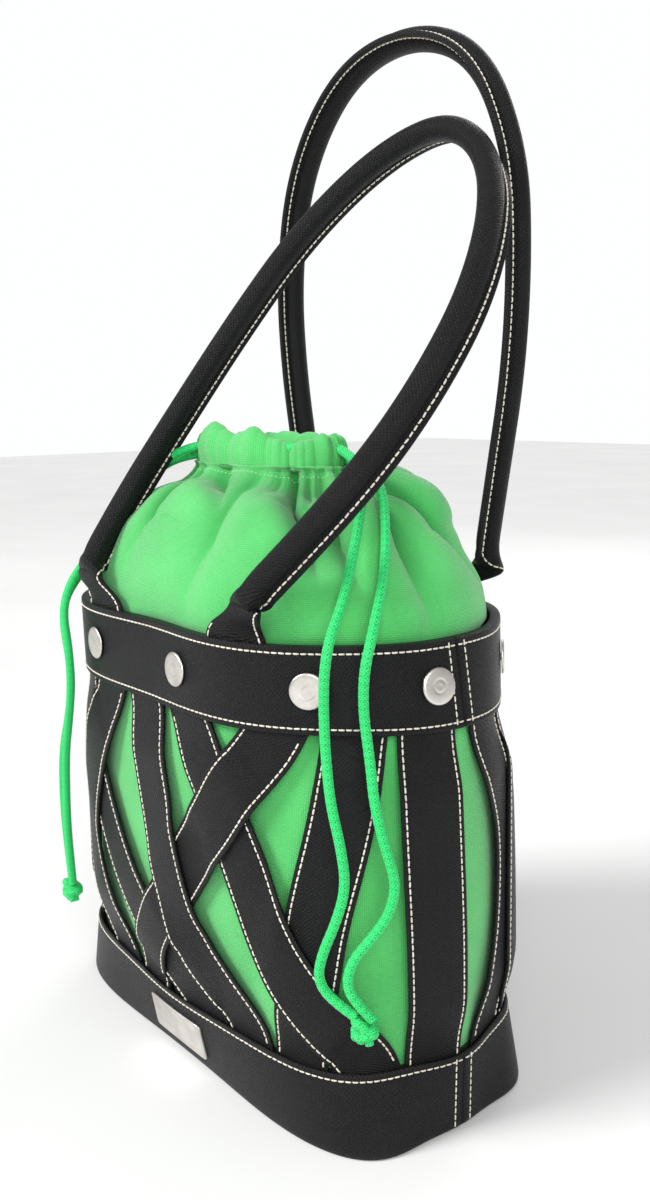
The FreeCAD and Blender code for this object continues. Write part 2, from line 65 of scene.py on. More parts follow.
def level_outline(level):
    height, length, depth, fourth, second, eighth = level
    a = -2 * math.pi * np.arange(4 * SAMPLES + 1) / (4 * SAMPLES)
    swell = (1 + fourth * (1 - np.cos(4 * a))
             + second * (np.cos(2 * a) - np.cos(6 * a))
             + eighth * (1 - np.cos(8 * a)))
    xy = np.stack([length * np.cos(a) * swell, depth * np.sin(a) * swell], 1)
    along = np.r_[0, np.cumsum(np.linalg.norm(np.diff(xy, axis=0), axis=1))]
    to = along[-1] * np.arange(SAMPLES + 1) / SAMPLES
    return np.stack([np.interp(to, along, xy[:, 0]),
                     np.interp(to, along, xy[:, 1])], 1)


OUTLINES = np.array([level_outline(level) for level in LEVELS])
LEVEL_Z = np.array([level[0] for level in LEVELS])


def plan(station, height):
    """The cage in plan, in mm, at distances round it and heights."""
    station, height = np.broadcast_arrays(np.asarray(station, float),
                                          np.asarray(height, float))
    place = (station / GIRTH) % 1.0 * SAMPLES
    first = place.astype(int) % SAMPLES
    part = (place - place.astype(int))[..., None]
    xy = OUTLINES[:, first] * (1 - part) + OUTLINES[:, first + 1] * part
    z = np.clip(height, LEVEL_Z[0], LEVEL_Z[-1])
    k = np.clip(np.searchsorted(LEVEL_Z, z, side="right") - 1, 0, 2)
    rise = ((z - LEVEL_Z[k]) / (LEVEL_Z[k + 1] - LEVEL_Z[k]))[..., None]
    low = np.take_along_axis(xy, k[None, ..., None], 0)[0]
    high = np.take_along_axis(xy, k[None, ..., None] + 1, 0)[0]
    return low + (high - low) * rise


def outward(station, height):
    ahead, behind = plan(station + 3.0, height), plan(station - 3.0, height)
    n = np.stack([behind[..., 1] - ahead[..., 1], ahead[..., 0] - behind[..., 0],
                  np.zeros(ahead.shape[:-1])], -1)
    return n / np.linalg.norm(n, axis=-1, keepdims=True)


def cage(station, height, offset=0.0):
    """Points on the cage, moved outwards by the offset, in metres."""
    station, height, offset = np.broadcast_arrays(
        np.asarray(station, float), np.asarray(height, float),
        np.asarray(offset, float))
    xy = plan(station, height)
    p = np.concatenate([xy, height[..., None]], -1)
    return (p + outward(station, height) * offset[..., None]) * MM


def smooth(value):
    value = np.clip(value, 0.0, 1.0)
    return value * value * (3 - 2 * value)


def unit(v):
    return v / np.maximum(np.linalg.norm(v, axis=-1, keepdims=True), 1e-12)


# ------------------------------------------------------------------ meshes
def new_object(name, verts, faces, uvs=None):
    mesh = bpy.data.meshes.new(name)
    mesh.from_pydata([tuple(v) for v in verts], [], faces)
    if uvs is not None:
        layer = mesh.uv_layers.new(name="grain")
        layer.data.foreach_set("uv", np.asarray(uvs, np.float32).ravel())
    mesh.update()
    mesh.polygons.foreach_set("use_smooth", [True] * len(mesh.polygons))
    obj = bpy.data.objects.new(name, mesh)
    bpy.context.scene.collection.objects.link(obj)
    return obj


class Builder:
    """Collects grids of points into one mesh with a UV map in metres."""

    def __init__(self):
        self.verts, self.faces, self.uvs, self.count = [], [], [], 0
        self.flags = []

    def grid(self, points, uv, wrap_u=False, wrap_v=False, caps=False, flip=False,
             flag=None):
        """points is (U, V, 3); uv is (U + wrap_u, V + wrap_v, 2)."""
        rows, cols = points.shape[:2]
        self.verts.append(points.reshape(-1, 3))
        self.flags.append(np.zeros(rows * cols) if flag is None
                          else np.broadcast_to(flag, (rows, cols)).ravel())
        for i in range(rows - 1 + wrap_u):
            k = (i + 1) % rows
            for j in range(cols - 1 + wrap_v):
                m = (j + 1) % cols
                face = [i * cols + j, k * cols + j, k * cols + m, i * cols + m]
                corner = [uv[i, j], uv[i + 1, j], uv[i + 1, j + 1], uv[i, j + 1]]
                if flip:
                    face, corner = face[::-1], corner[::-1]
                self.faces.append([self.count + f for f in face])
                self.uvs.extend(corner)
        if caps:
            for i in (0, rows - 1):
                face = [i * cols + j for j in range(cols)]
                corner = [uv[i, j] for j in range(cols)]
                if (i == 0) == flip:
                    face, corner = face[::-1], corner[::-1]
                self.faces.append([self.count + f for f in face])
                self.uvs.extend(corner)
        self.count += rows * cols

    def build(self, name):
        obj = new_object(name, np.concatenate(self.verts), self.faces, self.uvs)
        flags = np.concatenate(self.flags)
        # This point attribute holds rubbed wear on the leather pieces, and painted shade
        # in the canvas creases and in the grooves of the cords.
        if flags.any():
            layer = obj.data.attributes.new("wear_and_shade", "FLOAT", "POINT")
            layer.data.foreach_set("value", flags.astype(np.float32))
        return obj


def finish_piece(obj, material, body, replaces=()):
    obj.data.materials.clear()
    obj.data.materials.append(material)
    if body:
        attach(obj, body)
    if replaces:
        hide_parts(*replaces)


def arc_lengths(points):
    return np.r_[0, np.cumsum(np.linalg.norm(np.diff(points, axis=0), axis=1))]


def curve_points(name, controls):
    """A smooth NURBS curve object through given control points in mm."""
    data = bpy.data.curves.new(name, "CURVE")
    data.dimensions = "3D"
    spline = data.splines.new("NURBS")
    spline.points.add(len(controls) - 1)
    for point, (x, y, z) in zip(spline.points, controls):
        point.co = (x * MM, y * MM, z * MM, 1.0)
    spline.order_u = 3
    spline.use_endpoint_u = True
    spline.resolution_u = 14
    obj = bpy.data.objects.new(name, data)
    bpy.context.scene.collection.objects.link(obj)
    bpy.context.view_layer.update()
    mesh = bpy.data.meshes.new_from_object(obj)
    points = np.array([v.co for v in mesh.vertices], float)
    bpy.data.objects.remove(obj)
    bpy.data.curves.remove(data)
    bpy.data.meshes.remove(mesh)
    return points


def read_off(points, places, to):
    """Points (N, 3) known at places, read off at others between them."""
    return np.stack([np.interp(to, places, points[:, k]) for k in range(3)], -1)


def resample(points, step):
    along = arc_lengths(points)
    count = max(int(round(along[-1] / step)), 2)
    to = np.linspace(0, along[-1], count + 1)
    return read_off(points, along, to), to


def uv_grid(across, along):
    """UV for a grid whose columns lie at across and whose rows lie at along."""
    return np.stack(np.broadcast_arrays(across[None], along[:, None]), -1)


def smoothed(values, rounds):
    for _ in range(rounds):
        values = values.copy()
        values[1:-1] = (values[:-2] + 2 * values[1:-1] + values[2:]) / 4
    return values


def tangents(points):
    return unit(np.gradient(points, axis=0))


def carried_frames(points, start):
    """Frames carried along a line without twist, from a starting direction."""
    t = tangents(points)
    side = np.zeros_like(t)
    side[0] = unit(np.asarray(start, float) - t[0] * np.dot(start, t[0]))
    for i in range(1, len(t)):
        v = side[i - 1] - t[i] * np.dot(side[i - 1], t[i])
        side[i] = v / np.linalg.norm(v)
    return t, side, np.cross(t, side)


# ---------------------------------------------------------------- stitches
class Stitches:
    """Rows of thread, each stitch a small rounded bar sunk at its ends."""

    def __init__(self):
        self.parts = []

    def row(self, points, normals, pitch=3.2, length=2.75, width=0.42, lift=0.10):
        """points (N, 3) in metres along the row, normals out of the leather."""
        along = arc_lengths(points)
        count = max(int(along[-1] / (pitch * MM)), 1)
        middle = (np.arange(count) + 0.5) * along[-1] / count
        half = length * MM / 2 * along[-1] / count / (pitch * MM)
        a = read_off(points, along, middle - half)
        b = read_off(points, along, middle + half)
        n = unit(read_off(normals, along, middle))
        self.parts.append((a, b, n, width, lift))

    def build(self, name):
        rings = ((-1.0, 0.35, -0.75), (-0.82, 0.85, -0.15), (-0.4, 1.0, 0.12),
                 (0.4, 1.0, 0.12), (0.82, 0.85, -0.15), (1.0, 0.35, -0.75))
        sides = 6
        verts, faces = [], []
        base = 0
        for a, b, n, width, lift in self.parts:
            c = (a + b) / 2
            t = (b - a) / 2
            d = unit(np.cross(n, t))
            count = len(a)
            sway = RNG.normal(0, 0.12, count)[:, None] * width * MM
            high = RNG.normal(0, 0.06, count)[:, None] * width * MM
            rows = []
            for along, wide, sink in rings:
                for k in range(sides):
                    angle = 2 * math.pi * k / sides
                    rows.append(c + t * along
                                + d * (math.cos(angle) * wide * width * MM + sway * along)
                                + n * ((math.sin(angle) * wide * 0.72 + sink) * width * MM
                                       + lift * MM + high))
            block = np.stack(rows, 1)
            verts.append(block.reshape(-1, 3))
            per = len(rings) * sides
            for s in range(count):
                o = base + s * per
                for r in range(len(rings) - 1):
                    for k in range(sides):
                        m = (k + 1) % sides
                        faces.append((o + r * sides + k, o + r * sides + m,
                                      o + (r + 1) * sides + m, o + (r + 1) * sides + k))
                faces.append(tuple(o + k for k in range(sides))[::-1])
                faces.append(tuple(o + (len(rings) - 1) * sides + k
                                   for k in range(sides)))
            base += count * per
        return new_object(name, np.concatenate(verts), faces)


# --------------------------------------------------------------- materials
class Nodes:
    """Small helper that builds a node tree for a Principled material."""

    def __init__(self, name):
        self.material = bpy.data.materials.new(name)
        self.material.use_nodes = True
        self.tree = self.material.node_tree
        self.tree.nodes.clear()
        self.out = self.tree.nodes.new("ShaderNodeOutputMaterial")
        self.shader = self.tree.nodes.new("ShaderNodeBsdfPrincipled")
        self.link(self.shader.outputs[0], self.out.inputs["Surface"])

    def link(self, a, b):
        self.tree.links.new(a, b)

    def put(self, socket, value):
        if isinstance(value, bpy.types.NodeSocket):
            self.link(value, socket)
        elif value is not None:
            socket.default_value = value

    def set(self, **values):
        for key, value in values.items():
            self.put(self.shader.inputs[key.replace("_", " ")], value)

    def add(self, kind, out=0, settings=None, **inputs):
        node = self.tree.nodes.new("ShaderNode" + kind)
        for key, value in (settings or {}).items():
            setattr(node, key, value)
        for key, value in inputs.items():
            place = int(key[1:]) if key[0] == "i" and key[1:].isdigit() else None
            socket = node.inputs[place if place is not None else key.replace("_", " ")]
            self.put(socket, value)
        return node.outputs[out]

    def math(self, kind, a, b=0.0):
        return self.add("Math", settings={"operation": kind}, i0=a, i1=b)

    def uv(self):
        return self.add("UVMap", settings={"uv_map": "grain"})

    def place(self):
        return self.add("TexCoord", out=3)

    def turned(self, vector, angle=0.0, scale=(1, 1, 1)):
        return self.add("Mapping", Vector=vector, Rotation=(0, 0, math.radians(angle)),
                        Scale=scale)

    def noise(self, vector, scale, detail=3.0, rough=0.55):
        return self.add("TexNoise", Vector=vector, Scale=scale, Detail=detail,
                        Roughness=rough)

    def waves(self, vector, pitch, distortion=0.0, detail=1.0, detail_scale=1.0):
        """Ridges across the vector's x, one every 'pitch' metres."""
        return self.add("TexWave", out=1, settings={"bands_direction": "X"},
                        Vector=vector, Scale=2 * math.pi / 20 / pitch,
                        Distortion=distortion, Detail=detail,
                        Detail_Scale=detail_scale)

    def mix(self, factor, a, b):
        node = self.tree.nodes.new("ShaderNodeMix")
        node.data_type = "RGBA"
        self.put(node.inputs[0], factor)
        self.put(node.inputs[6], a if isinstance(a, bpy.types.NodeSocket) else (*a, 1))
        self.put(node.inputs[7], b if isinstance(b, bpy.types.NodeSocket) else (*b, 1))
        return node.outputs[2]

    def bump(self, height, strength, distance, normal=None):
        return self.add("Bump", Strength=strength, Distance=distance, Height=height,
                        Normal=normal)

    def range(self, value, low, high, start=0.0, end=1.0):
        return self.add("MapRange", Value=value, i1=start, i2=end, i3=low, i4=high)


def leather(name, tint=(0.0032, 0.0032, 0.0038), grain=True, on_cad=False):
    """Black leather pressed with a fine diagonal cross-hatch."""
    n = Nodes(name)
    where = n.place() if on_cad else n.uv()
    broad = n.noise(where, 38.0, 3.0)
    fine = n.noise(where, 900.0, 3.0, 0.6)
    colour = n.mix(n.range(broad, 0.0, 1.0, 0.3, 0.7), tint,
                   tuple(min(c * 1.8 + 0.001, 1) for c in tint))
    if grain:
        one = n.waves(n.turned(where, 52), 0.00122, 0.9, 2.0, 230.0)
        two = n.waves(n.turned(where, -38), 0.00136, 1.1, 2.0, 200.0)
        cells = n.math("MULTIPLY", n.math("POWER", one, 0.8),
                       n.range(two, 0.25, 1.0))
        height = n.math("ADD", cells, n.math("MULTIPLY", fine, 0.3))
        colour = n.mix(n.range(cells, 0.0, 0.6), colour, (0.009, 0.009, 0.0105))
        rough = n.range(cells, 0.44, 0.23)
        normal = n.bump(height, 1.0, 0.00042)
    else:
        height = n.math("ADD", fine, n.math("MULTIPLY", broad, 0.6))
        rough = n.range(fine, 0.42, 0.62)
        normal = n.bump(height, 0.4, 0.0002)
    soft = n.bump(broad, 0.3, 0.0014, normal)
    wear_and_shade = n.add("Attribute", out=2, settings={"attribute_name": "wear_and_shade"})
    worn = n.math("MULTIPLY", wear_and_shade, n.range(fine, 0.2, 0.8, 0.35, 0.6))
    colour = n.mix(worn, colour, (0.022, 0.021, 0.020))
    n.set(Base_Color=colour, Roughness=rough, Normal=soft, Specular_IOR_Level=0.19)
    return n.material


def canvas(name, base=(0.080, 0.535, 0.130), on_cad=False):
    """Plain weave cotton canvas, soft, with a little fading, and painted shade where the
    cloth is deeply creased.
    """
    n = Nodes(name)
    where = n.place() if on_cad else n.uv()
    warp = n.waves(n.turned(where, 0), 0.00086, 0.6, 1.0, 300.0)
    weft = n.waves(n.turned(where, 90), 0.00094, 0.6, 1.0, 300.0)
    weave = n.math("MULTIPLY", n.range(warp, 0.25, 1.0), n.range(weft, 0.25, 1.0))
    broad = n.noise(where, 24.0, 4.0)
    slub = n.noise(n.turned(where, 0, (1.0, 9.0, 1.0)), 260.0, 2.0)
    fuzz = n.noise(where, 1500.0, 2.0)
    light = tuple(min(c * 1.32 + 0.015, 1) for c in base)
    dark = tuple(c * 0.60 for c in base)
    colour = n.mix(n.range(broad, 0.0, 1.0, 0.3, 0.7), base, light)
    colour = n.mix(n.range(weave, 0.75, 0.0), colour, dark)
    colour = n.mix(n.range(slub, 0.0, 0.28, 0.45, 0.75), colour, light)
    # Painted shade: the colour darkens towards a deep green where the gathered top is
    # deeply creased, as the point attribute sets.
    crease_shade = n.add("Attribute", out=2, settings={"attribute_name": "wear_and_shade"})
    colour = n.mix(n.math("MULTIPLY", crease_shade, 0.75), colour,
                   tuple(c * f for c, f in zip(base, (0.16, 0.42, 0.30))))
    height = n.math("ADD", weave, n.math("MULTIPLY", fuzz, 0.5))
    normal = n.bump(height, 0.7, 0.00040)
    normal = n.bump(broad, 0.2, 0.003, normal)
    n.set(Base_Color=colour, Roughness=n.range(fuzz, 0.78, 0.95), Normal=normal,
          Sheen_Weight=0.35, Sheen_Roughness=0.45, Specular_IOR_Level=0.25)
    return n.material


def braid(name, on_cad=False):
    """Bright braided cord: two sets of yarns that cross in chevrons, with painted shade
    in the grooves between them.
    """
    n = Nodes(name)
    where = n.place() if on_cad else n.uv()
    one = n.waves(n.turned(where, 33), 0.00105, 0.2, 1.0, 200.0)
    two = n.waves(n.turned(where, -33), 0.00105, 0.2, 1.0, 200.0)
    yarn = n.math("MAXIMUM", one, two)
    # Painted shade: the colour darkens in the grooves between the yarns, as the point
    # attribute sets.
    groove_shade = n.add("Attribute", out=2, settings={"attribute_name": "wear_and_shade"})
    fibre = n.noise(n.turned(where, 0, (6.0, 1.0, 1.0)), 900.0, 2.0)
    colour = n.mix(n.range(yarn, 0.0, 1.0, 0.35, 0.95), (0.006, 0.33, 0.06),
                   (0.012, 0.72, 0.165))
    colour = n.mix(n.range(fibre, 0.0, 0.35, 0.4, 0.7), colour, (0.05, 0.86, 0.27))
    colour = n.mix(n.range(groove_shade, 0.0, 0.85, 0.25, 0.9), colour, (0.003, 0.20, 0.03))
    normal = n.bump(yarn, 0.6, 0.0004)
    normal = n.bump(fibre, 0.25, 0.0001, normal)
    n.set(Base_Color=colour, Roughness=n.range(fibre, 0.42, 0.62), Normal=normal,
          Sheen_Weight=0.2, Sheen_Roughness=0.4, Specular_IOR_Level=0.4)
    return n.material


def thread(name):
    n = Nodes(name)
    where = n.place()
    twist = n.waves(n.turned(where, 35), 0.00035, 0.5, 1.0, 300.0)
    patch = n.noise(where, 120.0, 2.0)
    colour = n.mix(n.range(patch, 0.0, 1.0, 0.35, 0.7), (0.66, 0.61, 0.50),
                   (0.80, 0.77, 0.69))
    colour = n.mix(n.range(twist, 0.35, 0.0), colour, (0.42, 0.38, 0.30))
    n.set(Base_Color=colour, Roughness=n.range(patch, 0.55, 0.7),
          Normal=n.bump(twist, 0.4, 0.0001), Sheen_Weight=0.15)
    return n.material


def nickel(name, spun=True):
    """Satin nickel; spun caps are lined in rings, the plate along its length."""
    n = Nodes(name)
    where = n.uv()
    streak = (1.0, 60.0, 1.0) if spun else (1.0, 90.0, 1.0)
    lines = n.noise(n.turned(where, 0, streak), 110.0, 4.0, 0.7)
    cloud = n.noise(n.place(), 130.0, 3.0)
    colour = n.mix(n.range(cloud, 0.0, 1.0, 0.3, 0.7), (0.56, 0.53, 0.49),
                   (0.74, 0.71, 0.67))
    rough = n.math("ADD", n.range(lines, 0.22, 0.36), n.range(cloud, 0.0, 0.08))
    n.set(Base_Color=colour, Metallic=1.0, Roughness=rough,
          Normal=n.bump(lines, 0.25, 0.00006), Anisotropic=0.3)
    return n.material


def plain(name, dark, light, rough, scale=60.0, metal=0.0):
    """Hidden pieces: mottled, with a fine tooth."""
    n = Nodes(name)
    where = n.place()
    cloud = n.noise(where, scale, 4.0)
    tooth = n.noise(where, scale * 14, 2.0)
    colour = n.mix(n.range(cloud, 0.0, 1.0, 0.3, 0.7), dark, light)
    n.set(Base_Color=colour, Roughness=n.range(tooth, rough - 0.06, rough + 0.1),
          Metallic=metal, Normal=n.bump(tooth, 0.3, 0.0002))
    return n.material


LEATHER_MAT = leather("pressed_leather")
LEATHER_CAD = leather("pressed_leather_base", on_cad=True)
FACING_MAT = leather("facing_leather", (0.014, 0.0135, 0.013), grain=False,
                     on_cad=True)
CANVAS_MAT = canvas("green_canvas")
CANVAS_CAD = canvas("green_canvas_inner", on_cad=True)
CORD_MAT = braid("green_cord")
CORD_CAD = braid("green_cord_inner", on_cad=True)
THREAD_MAT = thread("cream_thread")
CASING_THREAD = plain("casing_thread", (0.24, 0.62, 0.27), (0.42, 0.78, 0.43), 0.6)
SPUN_MAT = nickel("spun_nickel")
PLATE_MAT = nickel("plate_nickel", spun=False)
HIDDEN_METAL = plain("snap_inner_metal", (0.42, 0.4, 0.37), (0.6, 0.58, 0.54), 0.3,
                     140.0, 1.0)
BOARD_MAT = plain("stiffener_board", (0.20, 0.155, 0.11), (0.31, 0.25, 0.18), 0.8)
ROPE_MAT = plain("handle_rope", (0.42, 0.41, 0.38), (0.62, 0.6, 0.56), 0.85, 200.0)

for node, material in {
        "base_panel": LEATHER_CAD, "base_board": BOARD_MAT,
        "base_band_facing": FACING_MAT, "top_band_facing_front": FACING_MAT,
        "top_band_facing_rear": FACING_MAT, "liner_bottom": CANVAS_CAD,
        "snap_posts": HIDDEN_METAL, "snap_sockets": HIDDEN_METAL,
        "snap_studs": HIDDEN_METAL, "front_handle_core": ROPE_MAT,
        "rear_handle_core": ROPE_MAT, "drawcord_in_casing_upper": CORD_CAD,
        "drawcord_in_casing_lower": CORD_CAD}.items():
    node_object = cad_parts[node]
    node_object.data.materials.clear()
    node_object.data.materials.append(material)

# ------------------------------------------------------------------ straps
HALF_STRAPS = {
    1: (1.4, ((29, 15), (50, 15), (85, 15.5), (125, 17), (170, 18.5), (200, 19))),
    2: (0.5, ((29, 82), (50, 80), (70, 76), (105, 70), (145, 60), (175, 54),
              (200, 50.5))),
    3: (0.6, ((29, 44), (38, 47), (52, 57), (68, 72), (88, 88), (115, 101),
              (145, 114), (170, 128), (190, 141), (200, 147))),
    4: (0.8, ((29, 113), (38, 113.5), (50, 120), (66, 138), (86, 154), (105, 162),
              (128, 168), (160, 174), (190, 179), (200, 180.5))),
    5: (0.4, ((29, 192), (46, 191), (64, 185), (84, 172), (105, 155), (125, 139),
              (145, 122), (166, 107), (186, 91), (200, 83))),
    6: (0.0, ((29, 143), (38, 147), (50, 159), (66, 184), (82, 205), (98, 218),
              (118, 229), (142, 238), (170, 245), (200, 250))),
    7: (1.0, ((29, 225), (38, 229), (48, 235), (66, 248), (86, 256), (106, 255),
              (126, 248), (146, 237), (166, 226), (186, 216.5), (200, 211))),
    8: (1.6, ((29, 292), (50, 296), (85, 298), (120, 298), (150, 296), (175, 293),
              (200, 291))),
    9: (1.2, ((29, 327), (50, 321), (80, 312), (115, 309), (145, 313), (170, 323),
              (190, 328), (200, 329))),
}
CROSSINGS = ((3, 2), (5, 3), (4, 5), (5, 6), (4, 6), (7, 6), (8, 9))


def natural_spline(x, y, to):
    """Natural cubic spline through given control points."""
    x, y = np.asarray(x, float), np.asarray(y, float)
    count, h = len(x), np.diff(x)
    a = np.zeros((count, count))
    r = np.zeros(count)
    a[0, 0] = a[-1, -1] = 1
    for i in range(1, count - 1):
        a[i, i - 1:i + 2] = h[i - 1], 2 * (h[i - 1] + h[i]), h[i]
        r[i] = 6 * ((y[i + 1] - y[i]) / h[i] - (y[i] - y[i - 1]) / h[i - 1])
    m = np.linalg.solve(a, r)
    k = np.clip(np.searchsorted(x, to, side="right") - 1, 0, count - 2)
    left, right = to - x[k], x[k + 1] - to
    return ((m[k] * right ** 3 + m[k + 1] * left ** 3) / (6 * h[k])
            + (y[k] / h[k] - m[k] * h[k] / 6) * right
            + (y[k + 1] / h[k] - m[k + 1] * h[k] / 6) * left)


FINE_Z = np.linspace(STRAP_START, STRAP_END, 400)
LINES = {}
for number, (bow, controls) in HALF_STRAPS.items():
    zs = [c[0] for c in controls]
    ss = [c[1] for c in controls]
    zs[0], zs[-1] = STRAP_START, STRAP_END
    LINES[number] = np.stack([natural_spline(zs, ss, FINE_Z), FINE_Z], 1)


def line_distance(number, station, height):
    """Distance in the unrolled cage from points to a strap's centre line."""
    line = LINES[number][::4]
    d = np.full(np.shape(station), 1e9)
    for a, b in zip(line, line[1:]):
        v = b - a
        t = ((station - a[0]) * v[0] + (height - a[1]) * v[1]) / (v @ v)
        t = np.clip(t, 0, 1)
        d = np.minimum(d, np.hypot(station - a[0] - t * v[0],
                                   height - a[1] - t * v[1]))
    return d


def strap_face(number, station, height):
    """Offset of a strap's inner face: drawn in at the bands, bowed out between
    them, and lifted over the straps that it crosses."""
    depth = np.minimum(height - BASE_TOP, BAND_BOTTOM - height)
    part = np.clip((height - BASE_TOP) / (BAND_BOTTOM - BASE_TOP), 0, 1)
    free = 0.2 + HALF_STRAPS[number][0] * np.sin(math.pi * part)
    face = -3.8 + (free + 3.8) * smooth((depth - 1.0) / 29.0)
    for over, under in CROSSINGS:
        if over == number:
            gap = line_distance(under, station, height) - STRAP_WIDTH / 2
            reach = 15.0 * smooth((depth - 1.0) / 29.0) + 0.6
            beside = smooth((reach - gap) / (reach - 0.2))
            beside = beside * smooth((depth - 0.3) / 3.0)
            lifted = strap_face(under, station, height) + LEATHER + 0.3
            face = face + np.maximum(lifted - face, 0) * beside
    return face


# Across a strap: place, height of the top face, and how worn it is.
HALF_PROFILE = ((-1.0, -0.75, 0.0), (-0.996, -0.35, 0.6), (-0.975, -0.06, 0.8),
                (-0.94, 0.03, 0.25), (-0.87, 0.0, 0.0), (-0.838, -0.2, 0.0),
                (-0.80, -0.01, 0.0), (-0.7, 0.1, 0.0), (-0.4, 0.16, 0.0))
PROFILE = (*HALF_PROFILE, (0.0, 0.18, 0.0),
           *((-x, top, worn) for x, top, worn in HALF_PROFILE[::-1]),
           (0.985, -1.7, 0.0), (0.8, -1.8, 0.0), (0.0, -1.8, 0.0), (-0.8, -1.8, 0.0),
           (-0.985, -1.7, 0.0))


def make_strap(side, number, stitches):
    shift = 0.0 if side == "front" else HALF_GIRTH
    line = LINES[number]
    along = arc_lengths(line)
    to = np.linspace(0, along[-1], int(along[-1] / 2.2))
    s = np.interp(to, along, line[:, 0])
    z = np.interp(to, along, line[:, 1])
    ds, dz = np.gradient(s), np.gradient(z)
    size = np.hypot(ds, dz)
    ns, nz = dz / size, -ds / size
    half = STRAP_WIDTH / 2
    across, top, wear_and_shade = np.array(PROFILE, float).T
    station = s[:, None] + ns[:, None] * across * half
    height = z[:, None] + nz[:, None] * across * half
    face = strap_face(number, station, height)
    middle = strap_face(number, s, z)[:, None]
    face = np.maximum(face * 0.6 + middle * 0.4, face)
    points = cage(station + shift, height, face + LEATHER + top)
    v = np.r_[across, across[0]] * half * MM
    uv = uv_grid(v, to * MM) + np.array([number * 0.37, 0.11 * (side == "rear")])
    b = Builder()
    b.grid(points, uv, wrap_v=True, caps=True, flip=True, flag=wear_and_shade * 0.7)
    obj = b.build(f"leather_strap_{side}_{number}")
    finish_piece(obj, LEATHER_MAT, "bag", [f"{side}_strap_{number}"])
    visible = (z > BASE_TOP - 2) & (z < BAND_BOTTOM + 2)
    for place in (-0.838, 0.838):
        rs = (s + ns * place * half)[visible]
        rz = (z + nz * place * half)[visible]
        near = strap_face(number, rs, rz)
        off = np.maximum(near * 0.6 + middle[visible, 0] * 0.4, near) + LEATHER - 0.2
        row = cage(rs + shift, rz, off + 0.12)
        keep = (rz > BASE_TOP - 1.5) & (rz < BAND_BOTTOM + 1.5)
        row = row[keep]
        rs, rz = rs[keep], rz[keep]
        stitches.row(row, outward(rs + shift, rz))
    return obj


strap_stitches = Stitches()
for side in ("front", "rear"):
    for number in HALF_STRAPS:
        make_strap(side, number, strap_stitches)
finish_piece(strap_stitches.build("strap_stitching"), THREAD_MAT, "bag")

# ------------------------------------------------------------------- bands


def band_half(name, side, rows, replaced, stitch_heights, stitches):
    """Half of a leather band. rows go round its section: height, offset, wear."""
    start = 0.12 if side == "front" else HALF_GIRTH + 0.12
    stations = np.linspace(start, start + HALF_GIRTH - 0.24, 320)
    tip = np.minimum(stations - stations[0], stations[-1] - stations)
    dip = -0.35 * np.exp(-(tip / 1.1) ** 2)
    swell = 0.10 * np.exp(-((tip - 2.4) / 1.2) ** 2)
    row_z, row_o, row_w = np.array(rows, float).T
    outer = (row_o > -0.9)[None, :]
    offset = row_o[None, :] + (dip + swell)[:, None] * outer
    points = cage(stations[:, None], row_z[None, :], offset)
    around = np.r_[0, np.cumsum(np.hypot(np.diff(np.r_[row_z, row_z[0]]),
                                         np.diff(np.r_[row_o, row_o[0]])))] * MM
    uv = uv_grid(around, stations * MM)[..., ::-1]
    b = Builder()
    b.grid(points, uv, wrap_v=True, caps=True, flip=True,
           flag=row_w)
    obj = b.build(name)
    finish_piece(obj, LEATHER_MAT, "bag", replaced)
    for height in stitch_heights:
        s = np.linspace(start + 0.6, start + HALF_GIRTH - 0.9, 500)
        stitches.row(cage(s, height, -0.06), outward(s, height))
    low, high = row_z.min() + 1.5, row_z.max() - 1.0
    zs = np.linspace(low, high, 30)
    for station in (start + 4.6, start + HALF_GIRTH - 4.9):
        s = np.full_like(zs, station)
        stitches.row(cage(s, zs, -0.02), outward(s, zs))
    return obj


BASE_ROWS = ((0.35, -3.0, 0), (0.1, -2.0, 0), (0.4, -1.05, 0.2), (1.1, -0.4, 0.6),
             (2.3, -0.08, 0.35), (4.0, 0.0, 0.05), (10.0, 0.06, 0), (20.0, 0.08, 0),
             (30.0, 0.05, 0), (33.2, 0.03, 0), (34.2, -0.02, 0), (34.8, -0.2, 0),
             (35.4, 0.0, 0), (36.2, 0.08, 0.1), (36.9, 0.0, 0.5), (37.35, -0.3, 0.9),
             (37.5, -0.8, 0.6), (37.35, -1.4, 0), (36.8, -1.75, 0), (20.0, -1.8, 0),
             (4.0, -1.9, 0), (1.4, -2.6, 0))
TOP_ROWS = ((191.4, -1.5, 0), (191.3, -0.8, 0.6), (191.5, -0.25, 0.9),
            (192.0, 0.02, 0.5), (192.8, 0.08, 0.1), (193.6, 0.0, 0),
            (194.2, -0.2, 0), (194.8, -0.02, 0), (195.8, 0.04, 0),
            (203.0, 0.1, 0), (211.0, 0.12, 0), (219.0, 0.1, 0), (225.3, 0.05, 0),
            (226.3, -0.02, 0), (226.9, -0.2, 0), (227.5, 0.0, 0),
            (228.4, 0.08, 0.1), (229.3, 0.02, 0.45), (229.85, -0.3, 0.9),
            (230.0, -0.9, 0.5), (230.0, -2.6, 0.1), (229.95, -4.2, 0.2),
            (229.6, -4.9, 0.6), (228.9, -5.15, 0.3), (228.4, -5.15, 0),
            (228.35, -4.2, 0), (228.2, -1.85, 0), (210.0, -1.8, 0),
            (192.0, -1.8, 0))
band_stitches = Stitches()
for side in ("front", "rear"):
    band_half(f"leather_base_band_{side}", side, BASE_ROWS, [f"base_band_{side}"],
              (34.8,), band_stitches)
    band_half(f"leather_top_band_{side}", side, TOP_ROWS, [f"top_band_{side}"],
              (194.2, 226.9), band_stitches)
finish_piece(band_stitches.build("band_stitching"), THREAD_MAT, "bag")

